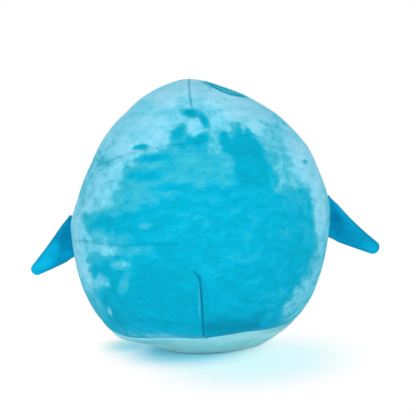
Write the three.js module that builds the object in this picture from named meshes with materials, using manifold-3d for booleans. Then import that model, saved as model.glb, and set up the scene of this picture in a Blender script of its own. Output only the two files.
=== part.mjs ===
// A round plush shark: an egg-shaped stuffed body sewn from three fabric panels, with a
// small stuffed fin sewn into the seam at each side.
// Millimetres, +Z up, the face towards -Y, the origin in the middle of the flat base.

import * as THREE from "three";
import Module from "manifold-3d";

const { Vector2, Vector3, MathUtils } = THREE;

// Body: an egg with its widest level just under half height, pressed flat at the base
const bodyHeight = 300;
const bodyWidth = 289;
const bodyDepth = 240;
const widestHeight = 147;
const basePress = 1.5;
// Powers of the rounding above and below the widest level, 2 being an ellipse
const crownRoundingShare = 1.72;
const baseRoundingShare = 2.35;

// Fabric, thread and the gaps between pieces that touch
const fabricThickness = 2;
const seamGap = 0.3;
const threadThickness = 1.2;
const fillingGap = 0.4;
// Cut edges closer than this are merged
const mergeGap = 0.02;

// Seams: the fabric rolls in towards the stitches, and its allowance lies turned in behind them
const seamRollWidth = 9;
const seamRollDepth = 4;
const seamAllowance = 6;
const stitchInset = 1.4;

// Main seam: round the crown and the sides, a little forward at the sides and turned
// under the back at the base
const sideForwardDegrees = 3;
const underTurnDegrees = 32;
const underStartShare = 0.68;

// Belly seam: round the front, from one side of the main seam to the other
const bellyCornerDegrees = 125;
const bellyFrontDegrees = 18;

// Darts of the back panel, at the crown and at the base
const dartWidth = 16;
const dartDepth = 3.6;
const dartFold = 3;
const crownDartLength = 36;
const baseDartLength = 72;
const dartTaperShare = 0.5;
// The stations beside a dart's bottom lie at this share of its half width
const dartStationShare = 1 / 3;
const dartThreadStations = 5;

// The hole for the filling, closed by hand in the main seam under the back
const closingLength = 70;
const closingThreadThickness = 1.4;

// Fins
const finRootHeight = 137;
const finRootLength = 46;
const finReach = 47;
const finDrop = 42;
const finTipRadius = 5;
const finUpperBulge = 1;
const finLowerBulge = 0.8;
const finThickness = 15;
const finFabricThickness = 1.5;
// A fin is pinched at its root and thickens outwards at this share of the distance, until
// it is full; the power rounds the change from one to the other
const finRootSlopeShare = 0.35;
const finRootRoundingShare = 3;
const finThreadThickness = 0.8;
const finMiddleShares = [0.29, -0.33];
const hingeGap = 0.3;
// The seam's slot for a fin's root closes over this share of its half width beyond the root
const slotTaperShare = 3;
// The root tab stops short of its slot's ends by this share of the station there
const tabEndShare = 0.15;

// Embroidered eyes and mouth
const eyeWidth = 17;
const eyeHeight = 22;
const eyeThickness = 1.4;
const eyeSideDegrees = 30;
const eyeRiseDegrees = 8;
const mouthWidth = 46;
const mouthSag = 9;
const mouthLineWidth = 3.2;
const mouthLineThickness = 1.2;
const mouthDropDegrees = 3;
const stitchGap = 0.3;
const eyeCrownShare = 0.5;

// Facets: stations are counted along a seam, and rows across a panel
const crownStations = 8;
const slotStations = 4;
const flankStations = 2;
const underStations = 5;
const closingStations = 2;
const bellyStations = 14;
const outerRowShares = [0.18, 0.36, 0.53, 0.68, 0.81, 0.91, 1];
const innerRows = 5;
const rollShares = [0.5, 0.18, 0.04];
const innerRollShares = [0.1, 0.4];
const threadSides = 6;
const fillingStations = 32;
const fillingRows = 18;
// The filling's egg starts at this share of the fabric's thickness and is cut back from there
const fillingStartShare = 0.25;
// The face panel's rows gather at this share of the way from the front to the crown
const facePoleShare = 1 / 3;
const finEdgeStations = 5;
const finTipStations = 6;
const finRowShares = [0.4, 0.65, 0.85];
const eyeStations = 16;
const mouthStations = 14;

// Sizes that follow
const quarterTurn = Math.PI / 2;
const halfWidth = bodyWidth / 2;
const halfDepth = bodyDepth / 2;
const crownReach = bodyHeight - widestHeight;
const baseReach = widestHeight + basePress;
const seamHalfGap = seamGap / 2;
const threadRadius = threadThickness / 2;
const threadChannel = Math.max(threadThickness, closingThreadThickness) / 2 + seamGap;
const stitchDepth = seamRollDepth + stitchInset;
const allowanceDepth = seamRollDepth + seamAllowance;
const dartHalfWidth = dartWidth / 2;
const tabHalf = finFabricThickness;
const slotHalf = tabHalf + seamGap;
const slotTaper = slotTaperShare * slotHalf;
const eyeSide = MathUtils.degToRad(eyeSideDegrees);
const eyeRise = MathUtils.degToRad(eyeRiseDegrees);
const centre = new Vector3(0, 0, widestHeight);
const back = new Vector3(0, 1, 0);
const front = new Vector3(0, -1, 0);
const above = new Vector3(0, 0, 1);
const down = new Vector3(0, 0, -1);

// Body surface

// The point of the body's surface in a direction from its centre, and the outward normal
function bodySurface(direction) {
  const upward = direction.z > 0;
  const reach = upward ? crownReach : baseReach;
  const power = upward ? crownRoundingShare : baseRoundingShare;
  const level = Math.hypot(direction.x / halfWidth, direction.y / halfDepth);
  const rise = Math.abs(direction.z) / reach;
  const radius = (level ** power + rise ** power) ** (-1 / power);
  const point = direction.clone().multiplyScalar(radius).add(centre);
  const normal = new Vector3(direction.x / halfWidth ** 2, direction.y / halfDepth ** 2, 0);
  if (level > 0) {
    normal.multiplyScalar(level ** (power - 2));
  }
  normal.z = (Math.sign(direction.z) * rise ** (power - 1)) / reach;
  normal.normalize();
  if (point.z < 0) {
    point.z = 0;
    normal.copy(down);
  }
  return { point, normal };
}

function atDepth(direction, depth) {
  const { point, normal } = bodySurface(direction);
  return point.addScaledVector(normal, -depth);
}

// The direction part of the way from one direction to another
function between(start, end, share) {
  const angle = start.angleTo(end);
  const blend = start.clone().multiplyScalar(Math.sin((1 - share) * angle));
  return blend.addScaledVector(end, Math.sin(share * angle)).normalize();
}

function directionAt(side, rise) {
  const level = Math.cos(rise);
  return new Vector3(level * Math.sin(side), -level * Math.cos(side), Math.sin(rise));
}

// Solids from rings of points

function signedVolume(points, triangles) {
  let volume = 0;
  for (let t = 0; t < triangles.length; t += 3) {
    const [a, b, c] = [points[triangles[t]], points[triangles[t + 1]], points[triangles[t + 2]]];
    volume += a.dot(b.clone().cross(c)) / 6;
  }
  return volume;
}

// A closed solid from a first point through closed rings, all of one count, to a last point
function loft(first, rings, last) {
  const count = rings[0].length;
  const points = [first, ...rings.flat(), last];
  const end = points.length - 1;
  const at = (ring, k) => 1 + ring * count + (k % count);
  const triangles = [];
  for (let k = 0; k < count; k += 1) {
    triangles.push(0, at(0, k), at(0, k + 1));
    for (let ring = 0; ring < rings.length - 1; ring += 1) {
      triangles.push(at(ring, k), at(ring + 1, k), at(ring + 1, k + 1));
      triangles.push(at(ring, k), at(ring + 1, k + 1), at(ring, k + 1));
    }
    triangles.push(end, at(rings.length - 1, k + 1), at(rings.length - 1, k));
  }
  if (signedVolume(points, triangles) < 0) {
    triangles.reverse();
  }
  const geometry = new THREE.BufferGeometry();
  geometry.setFromPoints(points);
  geometry.setIndex(triangles);
  return geometry;
}

// A bar of one section along a path of frames; a section point is across and up
function bar(frames, sectionOf) {
  const rings = frames.map((frame) =>
    sectionOf(frame).map(([across, up]) =>
      frame.point.clone().addScaledVector(frame.across, across).addScaledVector(frame.up, up),
    ),
  );
  const middle = (ring) => {
    const sum = new Vector3();
    ring.forEach((point) => sum.add(point));
    return sum.divideScalar(ring.length);
  };
  return loft(middle(rings[0]), rings, middle(rings[rings.length - 1]));
}

function roundSection(radius) {
  const section = [];
  for (let side = 0; side < threadSides; side += 1) {
    const turn = (side * 4 * quarterTurn) / threadSides;
    section.push([radius * Math.cos(turn), radius * Math.sin(turn)]);
  }
  return section;
}

// Cutting with manifold-3d
const wasm = await Module();
wasm.setup();

function solidOf(geometry) {
  const vertProperties = new Float32Array(geometry.attributes.position.array);
  const triVerts = new Uint32Array(geometry.index.array);
  return new wasm.Manifold(new wasm.Mesh({ numProp: 3, vertProperties, triVerts }));
}

function geometryOf(solid) {
  const mesh = solid.getMesh();
  const geometry = new THREE.BufferGeometry();
  geometry.setAttribute("position", new THREE.BufferAttribute(mesh.vertProperties, 3));
  geometry.setIndex(new THREE.BufferAttribute(mesh.triVerts, 1));
  return geometry;
}

// Main seam

// A turn goes round the back's axis from the crown towards the left side
function seamDirection(turn) {
  const under = MathUtils.smoothstep(-Math.cos(turn), underStartShare, 1);
  const forward = MathUtils.degToRad(sideForwardDegrees) * Math.sin(turn) ** 2;
  const tilt = quarterTurn + forward - MathUtils.degToRad(underTurnDegrees) * under;
  const level = Math.sin(tilt);
  return new Vector3(level * Math.sin(turn), Math.cos(tilt), level * Math.cos(turn));
}

// The turn of the side seam at a height
function turnAtHeight(height) {
  const rise = height - widestHeight;
  const power = rise > 0 ? crownRoundingShare : baseRoundingShare;
  const reach = rise > 0 ? crownReach : baseReach;
  const side = halfWidth * (1 - (Math.abs(rise) / reach) ** power) ** (1 / power);
  return Math.atan2(side, rise);
}

const rootTopTurn = turnAtHeight(finRootHeight + finRootLength / 2);
const rootBottomTurn = turnAtHeight(finRootHeight - finRootLength / 2);
const rootMiddleTurn = (rootTopTurn + rootBottomTurn) / 2;
const slotTaperTurn = slotTaper / halfWidth;
const cornerTurn = MathUtils.degToRad(bellyCornerDegrees);
const dartTurn = dartHalfWidth / crownReach;
const baseTurn = 2 * quarterTurn;
const sewnEndTurn = baseTurn - closingLength / 2 / widestHeight;
const closingEndTurn = sewnEndTurn + threadThickness / widestHeight;

function spread(start, end, count) {
  const steps = [];
  for (let step = 1; step <= count; step += 1) {
    steps.push(start + ((end - start) * step) / count);
  }
  return steps;
}

// Turns of the stations down the left half, closer together at the darts and the fin
const upperTurns = [
  dartTurn * dartStationShare,
  dartTurn,
  ...spread(dartTurn, rootTopTurn - slotTaperTurn, crownStations),
  ...spread(rootTopTurn - slotTaperTurn, rootTopTurn, 1),
  ...spread(rootTopTurn, rootBottomTurn, slotStations),
  ...spread(rootBottomTurn, rootBottomTurn + slotTaperTurn, 1),
  ...spread(rootBottomTurn + slotTaperTurn, cornerTurn, flankStations),
];
const lowerTurns = [
  ...spread(cornerTurn, sewnEndTurn, underStations),
  closingEndTurn,
  ...spread(closingEndTurn, baseTurn - dartTurn, closingStations),
  baseTurn - dartTurn * dartStationShare,
];

// Half the width of the slot between the turned-in edges, wider where a fin's root lies
function slotAt(turn) {
  const away = Math.abs(turn);
  const outside = Math.max(rootTopTurn - away, away - rootBottomTurn, 0);
  const widening = Math.max(1 - outside / slotTaperTurn, 0);
  return MathUtils.lerp(seamHalfGap, slotHalf, widening);
}

// The thread passes behind a fin's root
function threadShiftAt(turn) {
  const widening = (slotAt(turn) - seamHalfGap) / (slotHalf - seamHalfGap);
  return widening * (slotHalf + threadRadius);
}

function mainStation(turn) {
  return { direction: seamDirection(turn), slot: slotAt(turn), shift: threadShiftAt(turn), turn };
}

const leftUpper = upperTurns.map(mainStation);
const rightUpper = upperTurns.map((turn) => mainStation(-turn));
const leftLower = lowerTurns.map(mainStation);
const rightLower = lowerTurns.map((turn) => mainStation(-turn));
const crownStation = mainStation(0);
const baseStation = mainStation(baseTurn);

// Belly seam

const cornerDirection = seamDirection(cornerTurn);
const cornerSide = Math.atan2(cornerDirection.x, -cornerDirection.y);
const cornerRise = Math.asin(cornerDirection.z);
const bellyFrontRise = -MathUtils.degToRad(bellyFrontDegrees);

function bellyDirection(side) {
  const sideways = (1 - Math.cos(side)) / (1 - Math.cos(cornerSide));
  return directionAt(side, MathUtils.lerp(bellyFrontRise, cornerRise, sideways));
}

// From the right corner round the front to the left one, without the corners themselves
const bellySides = spread(-cornerSide, cornerSide, bellyStations).slice(0, -1);
const bellySeam = bellySides.map((side) => ({
  direction: bellyDirection(side),
  slot: seamHalfGap,
  shift: 0,
}));

const leftCorner = leftUpper[leftUpper.length - 1];
const rightCorner = rightUpper[rightUpper.length - 1];
const bellyRun = [rightCorner, ...bellySeam, leftCorner];

// Borders of the panels, each a closed round of stations
const backBorder = [
  crownStation,
  ...leftUpper,
  ...leftLower,
  baseStation,
  ...rightLower.toReversed(),
  ...rightUpper.toReversed(),
];
const faceBorder = [
  ...leftUpper.toReversed(),
  crownStation,
  ...rightUpper,
  ...bellySeam,
];
const bellyBorder = [
  leftCorner,
  ...leftLower,
  baseStation,
  ...rightLower.toReversed(),
  rightCorner,
  ...bellySeam,
];

// Panels

// Set-backs from a border: square to the seam, and along the bisector at a corner
function raysOf(border, pole) {
  const surfaces = border.map((station) => bodySurface(station.direction));
  const { point: polePoint } = bodySurface(pole);
  const count = border.length;
  const inwards = surfaces.map(({ point, normal }, k) => {
    const before = point.clone().sub(surfaces[(k + count - 1) % count].point).normalize();
    const after = surfaces[(k + 1) % count].point.clone().sub(point).normalize();
    const [square, nextSquare] = [normal.clone().cross(before), normal.clone().cross(after)];
    return square.clone().add(nextSquare).divideScalar(1 + square.dot(nextSquare));
  });
  const towardsPole = inwards.reduce((sum, inward, k) => {
    return sum + inward.dot(polePoint.clone().sub(surfaces[k].point));
  }, 0);
  return border.map((station, k) => {
    const inward = inwards[k].multiplyScalar(Math.sign(towardsPole));
    const setBack = (distance) =>
      surfaces[k].point.clone().addScaledVector(inward, distance).sub(centre).normalize();
    return { ...station, setBack };
  });
}

// The roll of the fabric into a seam: 1 at the stitches, 0 where the round surface begins
function rollAt(share) {
  return 1 - Math.sqrt(1 - (1 - share) ** 2);
}

// A panel: its round outside, the roll into the seam, the turned-in allowance with the
// thread's channel in it, and its inside. A grown panel is the space that it takes out of
// the filling, closed over the seam.
function panelGeometry({ border, pole, threadSign, relief, flatRim }, grown) {
  const rays = raysOf(border, pole);
  const thickness = fabricThickness + (grown ? fillingGap : 0);
  const turnedIn = allowanceDepth + (grown ? fillingGap : 0);
  const edgeOf = (ray) => (grown ? -seamHalfGap : ray.slot);
  const ringAt = (place) => rays.map(place);
  const hubOf = (ray) => (flatRim ? flatRim(ray, 0).sub(centre).normalize() : pole);
  const fromRoll = (ray, share) => between(hubOf(ray), ray.setBack(ray.slot + seamRollWidth), share);
  const channelOf = (ray) => Math.max(ray.slot, threadSign * ray.shift + threadChannel);
  const insideOf = (ray) => channelOf(ray) + thickness;
  const grooveOf = (ray) => (grown ? edgeOf(ray) : channelOf(ray));
  const surface = (direction, depth, inside) => {
    const dart = relief ? relief(direction, inside) : 0;
    return atDepth(direction, (inside ? thickness : 0) + Math.max(depth, dart));
  };
  const outerRows = outerRowShares.map((share) => ringAt((ray) => surface(fromRoll(ray, share), 0, false)));
  const rollRows = rollShares.map((share) =>
    ringAt((ray) =>
      surface(ray.setBack(ray.slot + seamRollWidth * share), seamRollDepth * rollAt(share), false),
    ),
  );
  const allowance = [
    (ray) => atDepth(ray.setBack(edgeOf(ray)), seamRollDepth),
    (ray) => atDepth(ray.setBack(edgeOf(ray)), stitchDepth - threadChannel),
    (ray) => atDepth(ray.setBack(grooveOf(ray)), stitchDepth - threadRadius),
    (ray) => atDepth(ray.setBack(grooveOf(ray)), stitchDepth + threadRadius),
    (ray) => atDepth(ray.setBack(edgeOf(ray)), stitchDepth + threadChannel),
    (ray) => atDepth(ray.setBack(edgeOf(ray)), turnedIn),
    (ray) => atDepth(ray.setBack(insideOf(ray)), turnedIn),
    (ray) => surface(ray.setBack(insideOf(ray)), seamRollDepth, true),
  ].map(ringAt);
  const innerRollRows = innerRollShares.map((share) =>
    ringAt((ray) => {
      const distance = MathUtils.lerp(insideOf(ray), ray.slot + seamRollWidth, share);
      return surface(ray.setBack(distance), seamRollDepth * rollAt(share), true);
    }),
  );
  const insideRows = spread(0, 1, innerRows)
    .toReversed()
    .map((share) => ringAt((ray) => surface(fromRoll(ray, share), 0, true)));
  const rings = [...outerRows, ...rollRows, ...allowance, ...innerRollRows, ...insideRows];
  if (flatRim) {
    rings.unshift(ringAt((ray) => flatRim(ray, 0)));
    rings.push(ringAt((ray) => flatRim(ray, thickness)));
  }
  return loft(surface(pole, 0, false), rings, surface(pole, 0, true));
}

// Depth of the two darts at a direction, deeper inside where the dart's fold lies
function dartRelief(direction, inside) {
  const { point } = bodySurface(direction);
  const upward = direction.z > 0;
  const turn = Math.atan2(direction.x, direction.z);
  const seam = bodySurface(seamDirection(turn)).point;
  const length = upward ? crownDartLength : baseDartLength;
  const taper = MathUtils.clamp((length - point.distanceTo(seam)) / (length * dartTaperShare), 0, 1);
  const across = Math.max(1 - Math.abs(point.x) / dartHalfWidth, 0);
  const depth = inside ? Math.min(dartDepth + dartFold, seamAllowance) : dartDepth;
  return depth * taper * across ** 2;
}

// The ring where the flat base meets the round surface
const flatShare = (1 - (widestHeight / baseReach) ** baseRoundingShare) ** (1 / baseRoundingShare);

function flatRimPoint(ray, depth) {
  const side = Math.atan2(ray.direction.x, ray.direction.y);
  const reach = flatShare / Math.hypot(Math.sin(side) / halfWidth, Math.cos(side) / halfDepth);
  return new Vector3(reach * Math.sin(side), reach * Math.cos(side), depth);
}

const backPanel = { border: backBorder, pole: back, threadSign: 1, relief: dartRelief };
const facePanel = { border: faceBorder, pole: between(front, above, facePoleShare), threadSign: -1 };
const bellyPanel = { border: bellyBorder, pole: down, threadSign: -1, flatRim: flatRimPoint };

// Threads of the seams

// Frames along stations: across is on the side that is named, up is outwards
function seamFrames(stations, depth, side) {
  const points = stations.map((station) => bodySurface(station.direction).point);
  return stations.map((station, k) => {
    const ahead = points[Math.min(k + 1, points.length - 1)];
    const behind = points[Math.max(k - 1, 0)];
    const along = ahead.clone().sub(behind).normalize();
    const { point, normal } = bodySurface(station.direction);
    const across = normal.clone().cross(along).normalize();
    if (across.dot(side) < 0) {
      across.negate();
    }
    point.addScaledVector(normal, -depth).addScaledVector(across, station.shift);
    return { point, across, up: normal, station };
  });
}

const sewnRun = [
  ...leftLower.filter((station) => station.turn <= sewnEndTurn).toReversed(),
  ...leftUpper.toReversed(),
  crownStation,
  ...rightUpper,
  ...rightLower.filter((station) => station.turn >= -sewnEndTurn),
];
const closingRun = [
  ...leftLower.filter((station) => station.turn >= closingEndTurn),
  baseStation,
  ...rightLower.filter((station) => station.turn <= -closingEndTurn).toReversed(),
];

// The thread of a run between its first and last stations, or one station short of them
function threadGeometry(run, side, thickness, short) {
  const section = roundSection(thickness / 2);
  const frames = seamFrames(run, stitchDepth, side);
  return bar(short ? frames.slice(1, -1) : frames, () => section);
}

// A dart's thread lies in the bottom of its groove, from near the seam to the dart's end
function dartThreadGeometry(turn, length) {
  const seam = seamDirection(turn);
  const radius = bodySurface(seam).point.distanceTo(centre);
  const angle = seam.angleTo(back);
  const steps = spread(seamRollWidth, length * dartTaperShare, dartThreadStations);
  const stationRise = dartDepth * (1 - (1 - dartStationShare) ** 2);
  const grooveSlope = stationRise / (dartHalfWidth * dartStationShare);
  const rise = (threadRadius + seamGap) * Math.hypot(1, grooveSlope);
  const frames = [seamRollWidth / 2, ...steps].map((distance) => {
    const direction = between(seam, back, distance / (radius * angle));
    const { point, normal } = bodySurface(direction);
    point.addScaledVector(normal, rise - dartRelief(direction, false));
    return { point, across: new Vector3(1, 0, 0), up: normal };
  });
  const section = roundSection(threadRadius);
  return bar(frames, () => section);
}

// Filling

// The filling takes all the room inside the panels, but for a small gap
function fillingGeometry() {
  const within = fabricThickness * fillingStartShare;
  const rings = spread(0, 2 * quarterTurn, fillingRows)
    .slice(0, -1)
    .map((tilt) =>
      spread(0, 4 * quarterTurn, fillingStations).map((turn) => {
        const level = Math.sin(tilt);
        const direction = new Vector3(level * Math.sin(turn), Math.cos(tilt), level * Math.cos(turn));
        return atDepth(direction, within);
      }),
    );
  const egg = solidOf(loft(atDepth(back, within), rings, atDepth(front, within)));
  const room = [backPanel, facePanel, bellyPanel]
    .map((panel) => solidOf(panelGeometry(panel, true)))
    .reduce((solid, panel) => solid.subtract(panel), egg);
  const pieces = room.decompose().sort((a, b) => b.volume() - a.volume());
  return geometryOf(pieces[0].setTolerance(mergeGap).simplify(mergeGap));
}

// Fins

// The line that a fin bends about, just outside the seam that its root is sewn into
function hingeOf(sign) {
  const top = bodySurface(seamDirection(sign * rootTopTurn)).point;
  const bottom = bodySurface(seamDirection(sign * rootBottomTurn)).point;
  const middle = bodySurface(seamDirection(sign * rootMiddleTurn));
  const up = top.clone().sub(bottom).normalize();
  const out = middle.normal.clone();
  out.addScaledVector(up, -out.dot(up)).normalize();
  return { origin: middle.point.clone(), up, out, length: top.distanceTo(bottom) };
}

// A fin's stitch line: out is x and up is y, from the root's top round the tip to its bottom
function finOutline(rootLength) {
  const top = new Vector2(0, rootLength / 2);
  const bottom = new Vector2(0, -rootLength / 2);
  const tip = new Vector2(finReach - finTipRadius, finTipRadius - finDrop);
  const edge = (start, end, bulge) => {
    const along = end.clone().sub(start);
    const outward = new Vector2(-along.y, along.x).normalize();
    const control = start.clone().add(end).divideScalar(2).addScaledVector(outward, 2 * bulge);
    return new THREE.QuadraticBezierCurve(start, control, end).getPoints(finEdgeStations);
  };
  const upperTurn = tip.clone().sub(top).angle() + quarterTurn;
  const lowerTurn = bottom.clone().sub(tip).angle() + quarterTurn;
  const arc = new THREE.EllipseCurve(tip.x, tip.y, finTipRadius, finTipRadius, upperTurn, lowerTurn, true);
  const round = arc.getPoints(finTipStations);
  const upper = edge(top, round[0], finUpperBulge);
  const lower = edge(round[round.length - 1], bottom, finLowerBulge);
  const root = spread(0, 1, slotStations).slice(0, -1).map((share) => bottom.clone().lerp(top, share));
  return { sewn: [...upper, ...round.slice(1, -1), ...lower], root };
}

function finPieces(rootLength) {
  const { sewn, root } = finOutline(rootLength);
  const outline = [...sewn, ...root];
  const middle = new Vector2(finMiddleShares[0] * finReach, finMiddleShares[1] * finDrop);
  const rim = finFabricThickness;
  const swell = finThickness / 2 - rim;
  const halfAt = (share, out) => {
    const full = swell * Math.sqrt(1 - share ** 2);
    const pinched = finRootSlopeShare * out;
    const both = (full ** finRootRoundingShare + pinched ** finRootRoundingShare) ** (1 / finRootRoundingShare);
    return rim + (full * pinched) / both;
  };
  const insideAt = (share, out) => Math.max(halfAt(share, out) - finFabricThickness, seamHalfGap);
  const fillingAt = (share, out) => insideAt(share, out) - fillingGap;
  const outwardAt = (k) => {
    const before = outline[(k + outline.length - 1) % outline.length];
    const after = outline[(k + 1) % outline.length];
    const along = after.clone().sub(before);
    return new Vector2(-along.y, along.x).normalize();
  };
  const rimRing = (height, beyond) =>
    outline.map((point, k) => {
      const place = point.clone().addScaledVector(outwardAt(k), beyond);
      return new Vector3(place.x, height, place.y);
    });
  const ring = (share, heightAt, sign) =>
    outline.map((point) => {
      const place = middle.clone().lerp(point, share);
      return new Vector3(place.x, sign * heightAt(share, place.x), place.y);
    });
  const pole = (heightAt, sign) => new Vector3(middle.x, sign * heightAt(0, middle.x), middle.y);
  const round = Math.SQRT1_2 * rim;
  const panel = (sign) => {
    const rings = [
      ...finRowShares.map((share) => ring(share, halfAt, sign)),
      rimRing(sign * rim, 0),
      rimRing(sign * round, round),
      rimRing(sign * seamHalfGap, rim),
      rimRing(sign * seamHalfGap, 0),
      ...finRowShares.toReversed().map((share) => ring(share, insideAt, sign)),
    ];
    return loft(pole(halfAt, sign), rings, pole(insideAt, sign));
  };
  const fillingRings = [
    ...finRowShares.map((share) => ring(share, fillingAt, 1)),
    ...finRowShares.toReversed().map((share) => ring(share, fillingAt, -1)),
  ];
  const filling = loft(pole(fillingAt, 1), fillingRings, pole(fillingAt, -1));
  const threadShare = (1 + finRowShares[finRowShares.length - 1]) / 2;
  const frames = sewn.map((point, k) => {
    const outward = outwardAt(k);
    const place = middle.clone().lerp(point, threadShare);
    return {
      point: new Vector3(place.x, 0, place.y),
      across: new Vector3(outward.x, 0, outward.y),
      up: new Vector3(0, 1, 0),
    };
  });
  const section = roundSection(finThreadThickness / 2);
  const thread = bar(frames.slice(1, -1), () => section);
  return { plus: panel(1), minus: panel(-1), filling, thread };
}

// The fin's own seam allowance, held in the slot of the main seam
function rootTabGeometry(sign) {
  const hinge = hingeOf(sign);
  const clear = finFabricThickness + hingeGap;
  const run = (sign > 0 ? leftUpper : rightUpper).map((station) => ({ ...station, shift: 0 }));
  const frames = seamFrames(run, 0, back).filter(({ station }) => station.slot === slotHalf);
  const last = frames.length - 1;
  frames[0].point.lerp(frames[1].point, tabEndShare);
  frames[last].point.lerp(frames[last - 1].point, tabEndShare);
  return bar(frames, ({ point, up }) => {
    const rise = hinge.origin.clone().sub(point).dot(hinge.out) / up.dot(hinge.out);
    const top = rise - clear;
    return [
      [-tabHalf, top],
      [tabHalf, top],
      [tabHalf, -allowanceDepth],
      [-tabHalf, -allowanceDepth],
    ];
  });
}

// Embroidery on the face

// A patch raised on the surface about a direction, its sizes given across and up
function patchGeometry(side, rise, width, height, thickness) {
  const middle = directionAt(side, rise);
  const { point, normal } = bodySurface(middle);
  const across = above.clone().cross(normal).normalize();
  const up = normal.clone().cross(across).normalize();
  const ring = (share, lift) =>
    spread(0, 4 * quarterTurn, eyeStations).map((turn) => {
      const place = point.clone();
      place.addScaledVector(across, (share * width * Math.cos(turn)) / 2);
      place.addScaledVector(up, (share * height * Math.sin(turn)) / 2);
      return atDepth(place.sub(centre).normalize(), -lift);
    });
  const low = stitchGap;
  const high = stitchGap + thickness;
  const edge = stitchGap + thickness / 2;
  return loft(
    atDepth(middle, -low),
    [
      ring(eyeCrownShare, low),
      ring(1, low),
      ring(1, edge),
      ring(1 - thickness / width, high),
      ring(eyeCrownShare, high),
    ],
    atDepth(middle, -high),
  );
}

// A band of stitches along a sagging line
function mouthGeometry() {
  const half = mouthWidth / 2;
  const frames = [-1, ...spread(-1, 1, mouthStations)].map((share) => {
    const middle = bodySurface(directionAt(0, -MathUtils.degToRad(mouthDropDegrees))).point;
    middle.x += half * share;
    middle.z += mouthSag * share ** 2;
    const { point, normal } = bodySurface(middle.sub(centre).normalize());
    const along = new Vector3(half, 0, 2 * mouthSag * share).normalize();
    return { point, across: normal.clone().cross(along).normalize(), up: normal };
  });
  const wide = mouthLineWidth / 2;
  const low = stitchGap;
  const high = stitchGap + mouthLineThickness;
  return bar(frames, () => [
    [-wide, low],
    [-wide / 2, high],
    [wide / 2, high],
    [wide, low],
  ]);
}

// Materials
const fabricOf = (color) => new THREE.MeshStandardMaterial({ color, roughness: 0.95, metalness: 0 });
const blueFabric = fabricOf(0x12b0da);
const finFabric = fabricOf(0x0a8fc0);
const paleFabric = fabricOf(0xa6dfe8);
const blueThread = fabricOf(0x0f7f9c);
const whiteFilling = fabricOf(0xf2f2ee);
const darkThread = fabricOf(0x14181d);

// Assembly

const shark = new THREE.Group();

function add(parent, name, geometry, material) {
  const mesh = new THREE.Mesh(geometry, material);
  mesh.name = name;
  parent.add(mesh);
}

add(shark, "body_filling", fillingGeometry(), whiteFilling);
add(shark, "back_panel", panelGeometry(backPanel, false), blueFabric);
add(shark, "face_panel", panelGeometry(facePanel, false), blueFabric);
add(shark, "belly_panel", panelGeometry(bellyPanel, false), paleFabric);

add(shark, "main_seam_thread", threadGeometry(sewnRun, back, threadThickness, false), blueThread);
add(shark, "belly_seam_thread", threadGeometry(bellyRun, above, threadThickness, true), blueThread);
add(shark, "closing_thread", threadGeometry(closingRun, back, closingThreadThickness, false), blueThread);
add(shark, "crown_dart_thread", dartThreadGeometry(0, crownDartLength), blueThread);
add(shark, "base_dart_thread", dartThreadGeometry(baseTurn, baseDartLength), blueThread);

add(shark, "left_eye", patchGeometry(eyeSide, eyeRise, eyeWidth, eyeHeight, eyeThickness), darkThread);
add(shark, "right_eye", patchGeometry(-eyeSide, eyeRise, eyeWidth, eyeHeight, eyeThickness), darkThread);
add(shark, "mouth_line", mouthGeometry(), darkThread);

// Each fin is built flat and placed on its hinge line; its plus side is the back of the
// left fin and the front of the right one
for (const [side, sign] of [["left", 1], ["right", -1]]) {
  const hinge = hingeOf(sign);
  const fin = new THREE.Group();
  const across = hinge.up.clone().cross(hinge.out);
  fin.setRotationFromMatrix(new THREE.Matrix4().makeBasis(hinge.out, across, hinge.up));
  fin.position.copy(hinge.origin);
  shark.add(fin);
  const pieces = finPieces(hinge.length);
  const [backPiece, frontPiece] = sign > 0 ? [pieces.plus, pieces.minus] : [pieces.minus, pieces.plus];
  add(fin, `${side}_fin_back_panel`, backPiece, finFabric);
  add(fin, `${side}_fin_front_panel`, frontPiece, finFabric);
  add(fin, `${side}_fin_filling`, pieces.filling, whiteFilling);
  add(fin, `${side}_fin_edge_thread`, pieces.thread, blueThread);
  add(shark, `${side}_fin_root_tab`, rootTabGeometry(sign), finFabric);
}

export default shark;
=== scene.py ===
# A round plush shark seen from behind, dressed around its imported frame.
# Metres, +Z up, the face towards -Y. Picture places are pixels of a 416 by 416 frame.

import math

import bmesh
import bpy
import numpy as np
from mathutils import Matrix, Vector, noise
from mathutils.bvhtree import BVHTree
from mathutils.kdtree import KDTree


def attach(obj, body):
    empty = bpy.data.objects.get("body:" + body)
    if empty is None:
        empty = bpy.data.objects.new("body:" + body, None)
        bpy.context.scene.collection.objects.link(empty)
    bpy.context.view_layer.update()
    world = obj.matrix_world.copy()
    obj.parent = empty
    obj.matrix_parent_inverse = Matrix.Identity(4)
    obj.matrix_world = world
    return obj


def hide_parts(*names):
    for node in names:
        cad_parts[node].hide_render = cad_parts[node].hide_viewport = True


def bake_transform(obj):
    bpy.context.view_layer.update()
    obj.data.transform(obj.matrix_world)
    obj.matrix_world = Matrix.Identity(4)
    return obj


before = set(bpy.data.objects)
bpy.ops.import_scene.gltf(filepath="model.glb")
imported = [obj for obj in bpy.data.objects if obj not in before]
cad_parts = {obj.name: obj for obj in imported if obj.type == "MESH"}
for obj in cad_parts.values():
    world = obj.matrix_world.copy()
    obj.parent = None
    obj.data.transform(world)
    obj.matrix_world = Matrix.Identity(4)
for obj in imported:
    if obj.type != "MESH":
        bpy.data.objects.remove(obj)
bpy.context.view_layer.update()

MM = 0.001
LEAST_LENGTH = 1e-12
LEAST_ANGLE = 1e-9

# Body: the frame's egg, as powers about its widest level
BODY_HALF_WIDTH = 144.5 * MM
BODY_HALF_DEPTH = 120 * MM
WIDEST_HEIGHT = 147 * MM
CROWN_REACH = 153 * MM
BASE_REACH = 148.5 * MM
CROWN_POWER = 1.72
BASE_POWER = 2.35
CENTRE = np.array([0, 0, WIDEST_HEIGHT])
LEVEL_FLOOR = 1e-4

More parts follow.
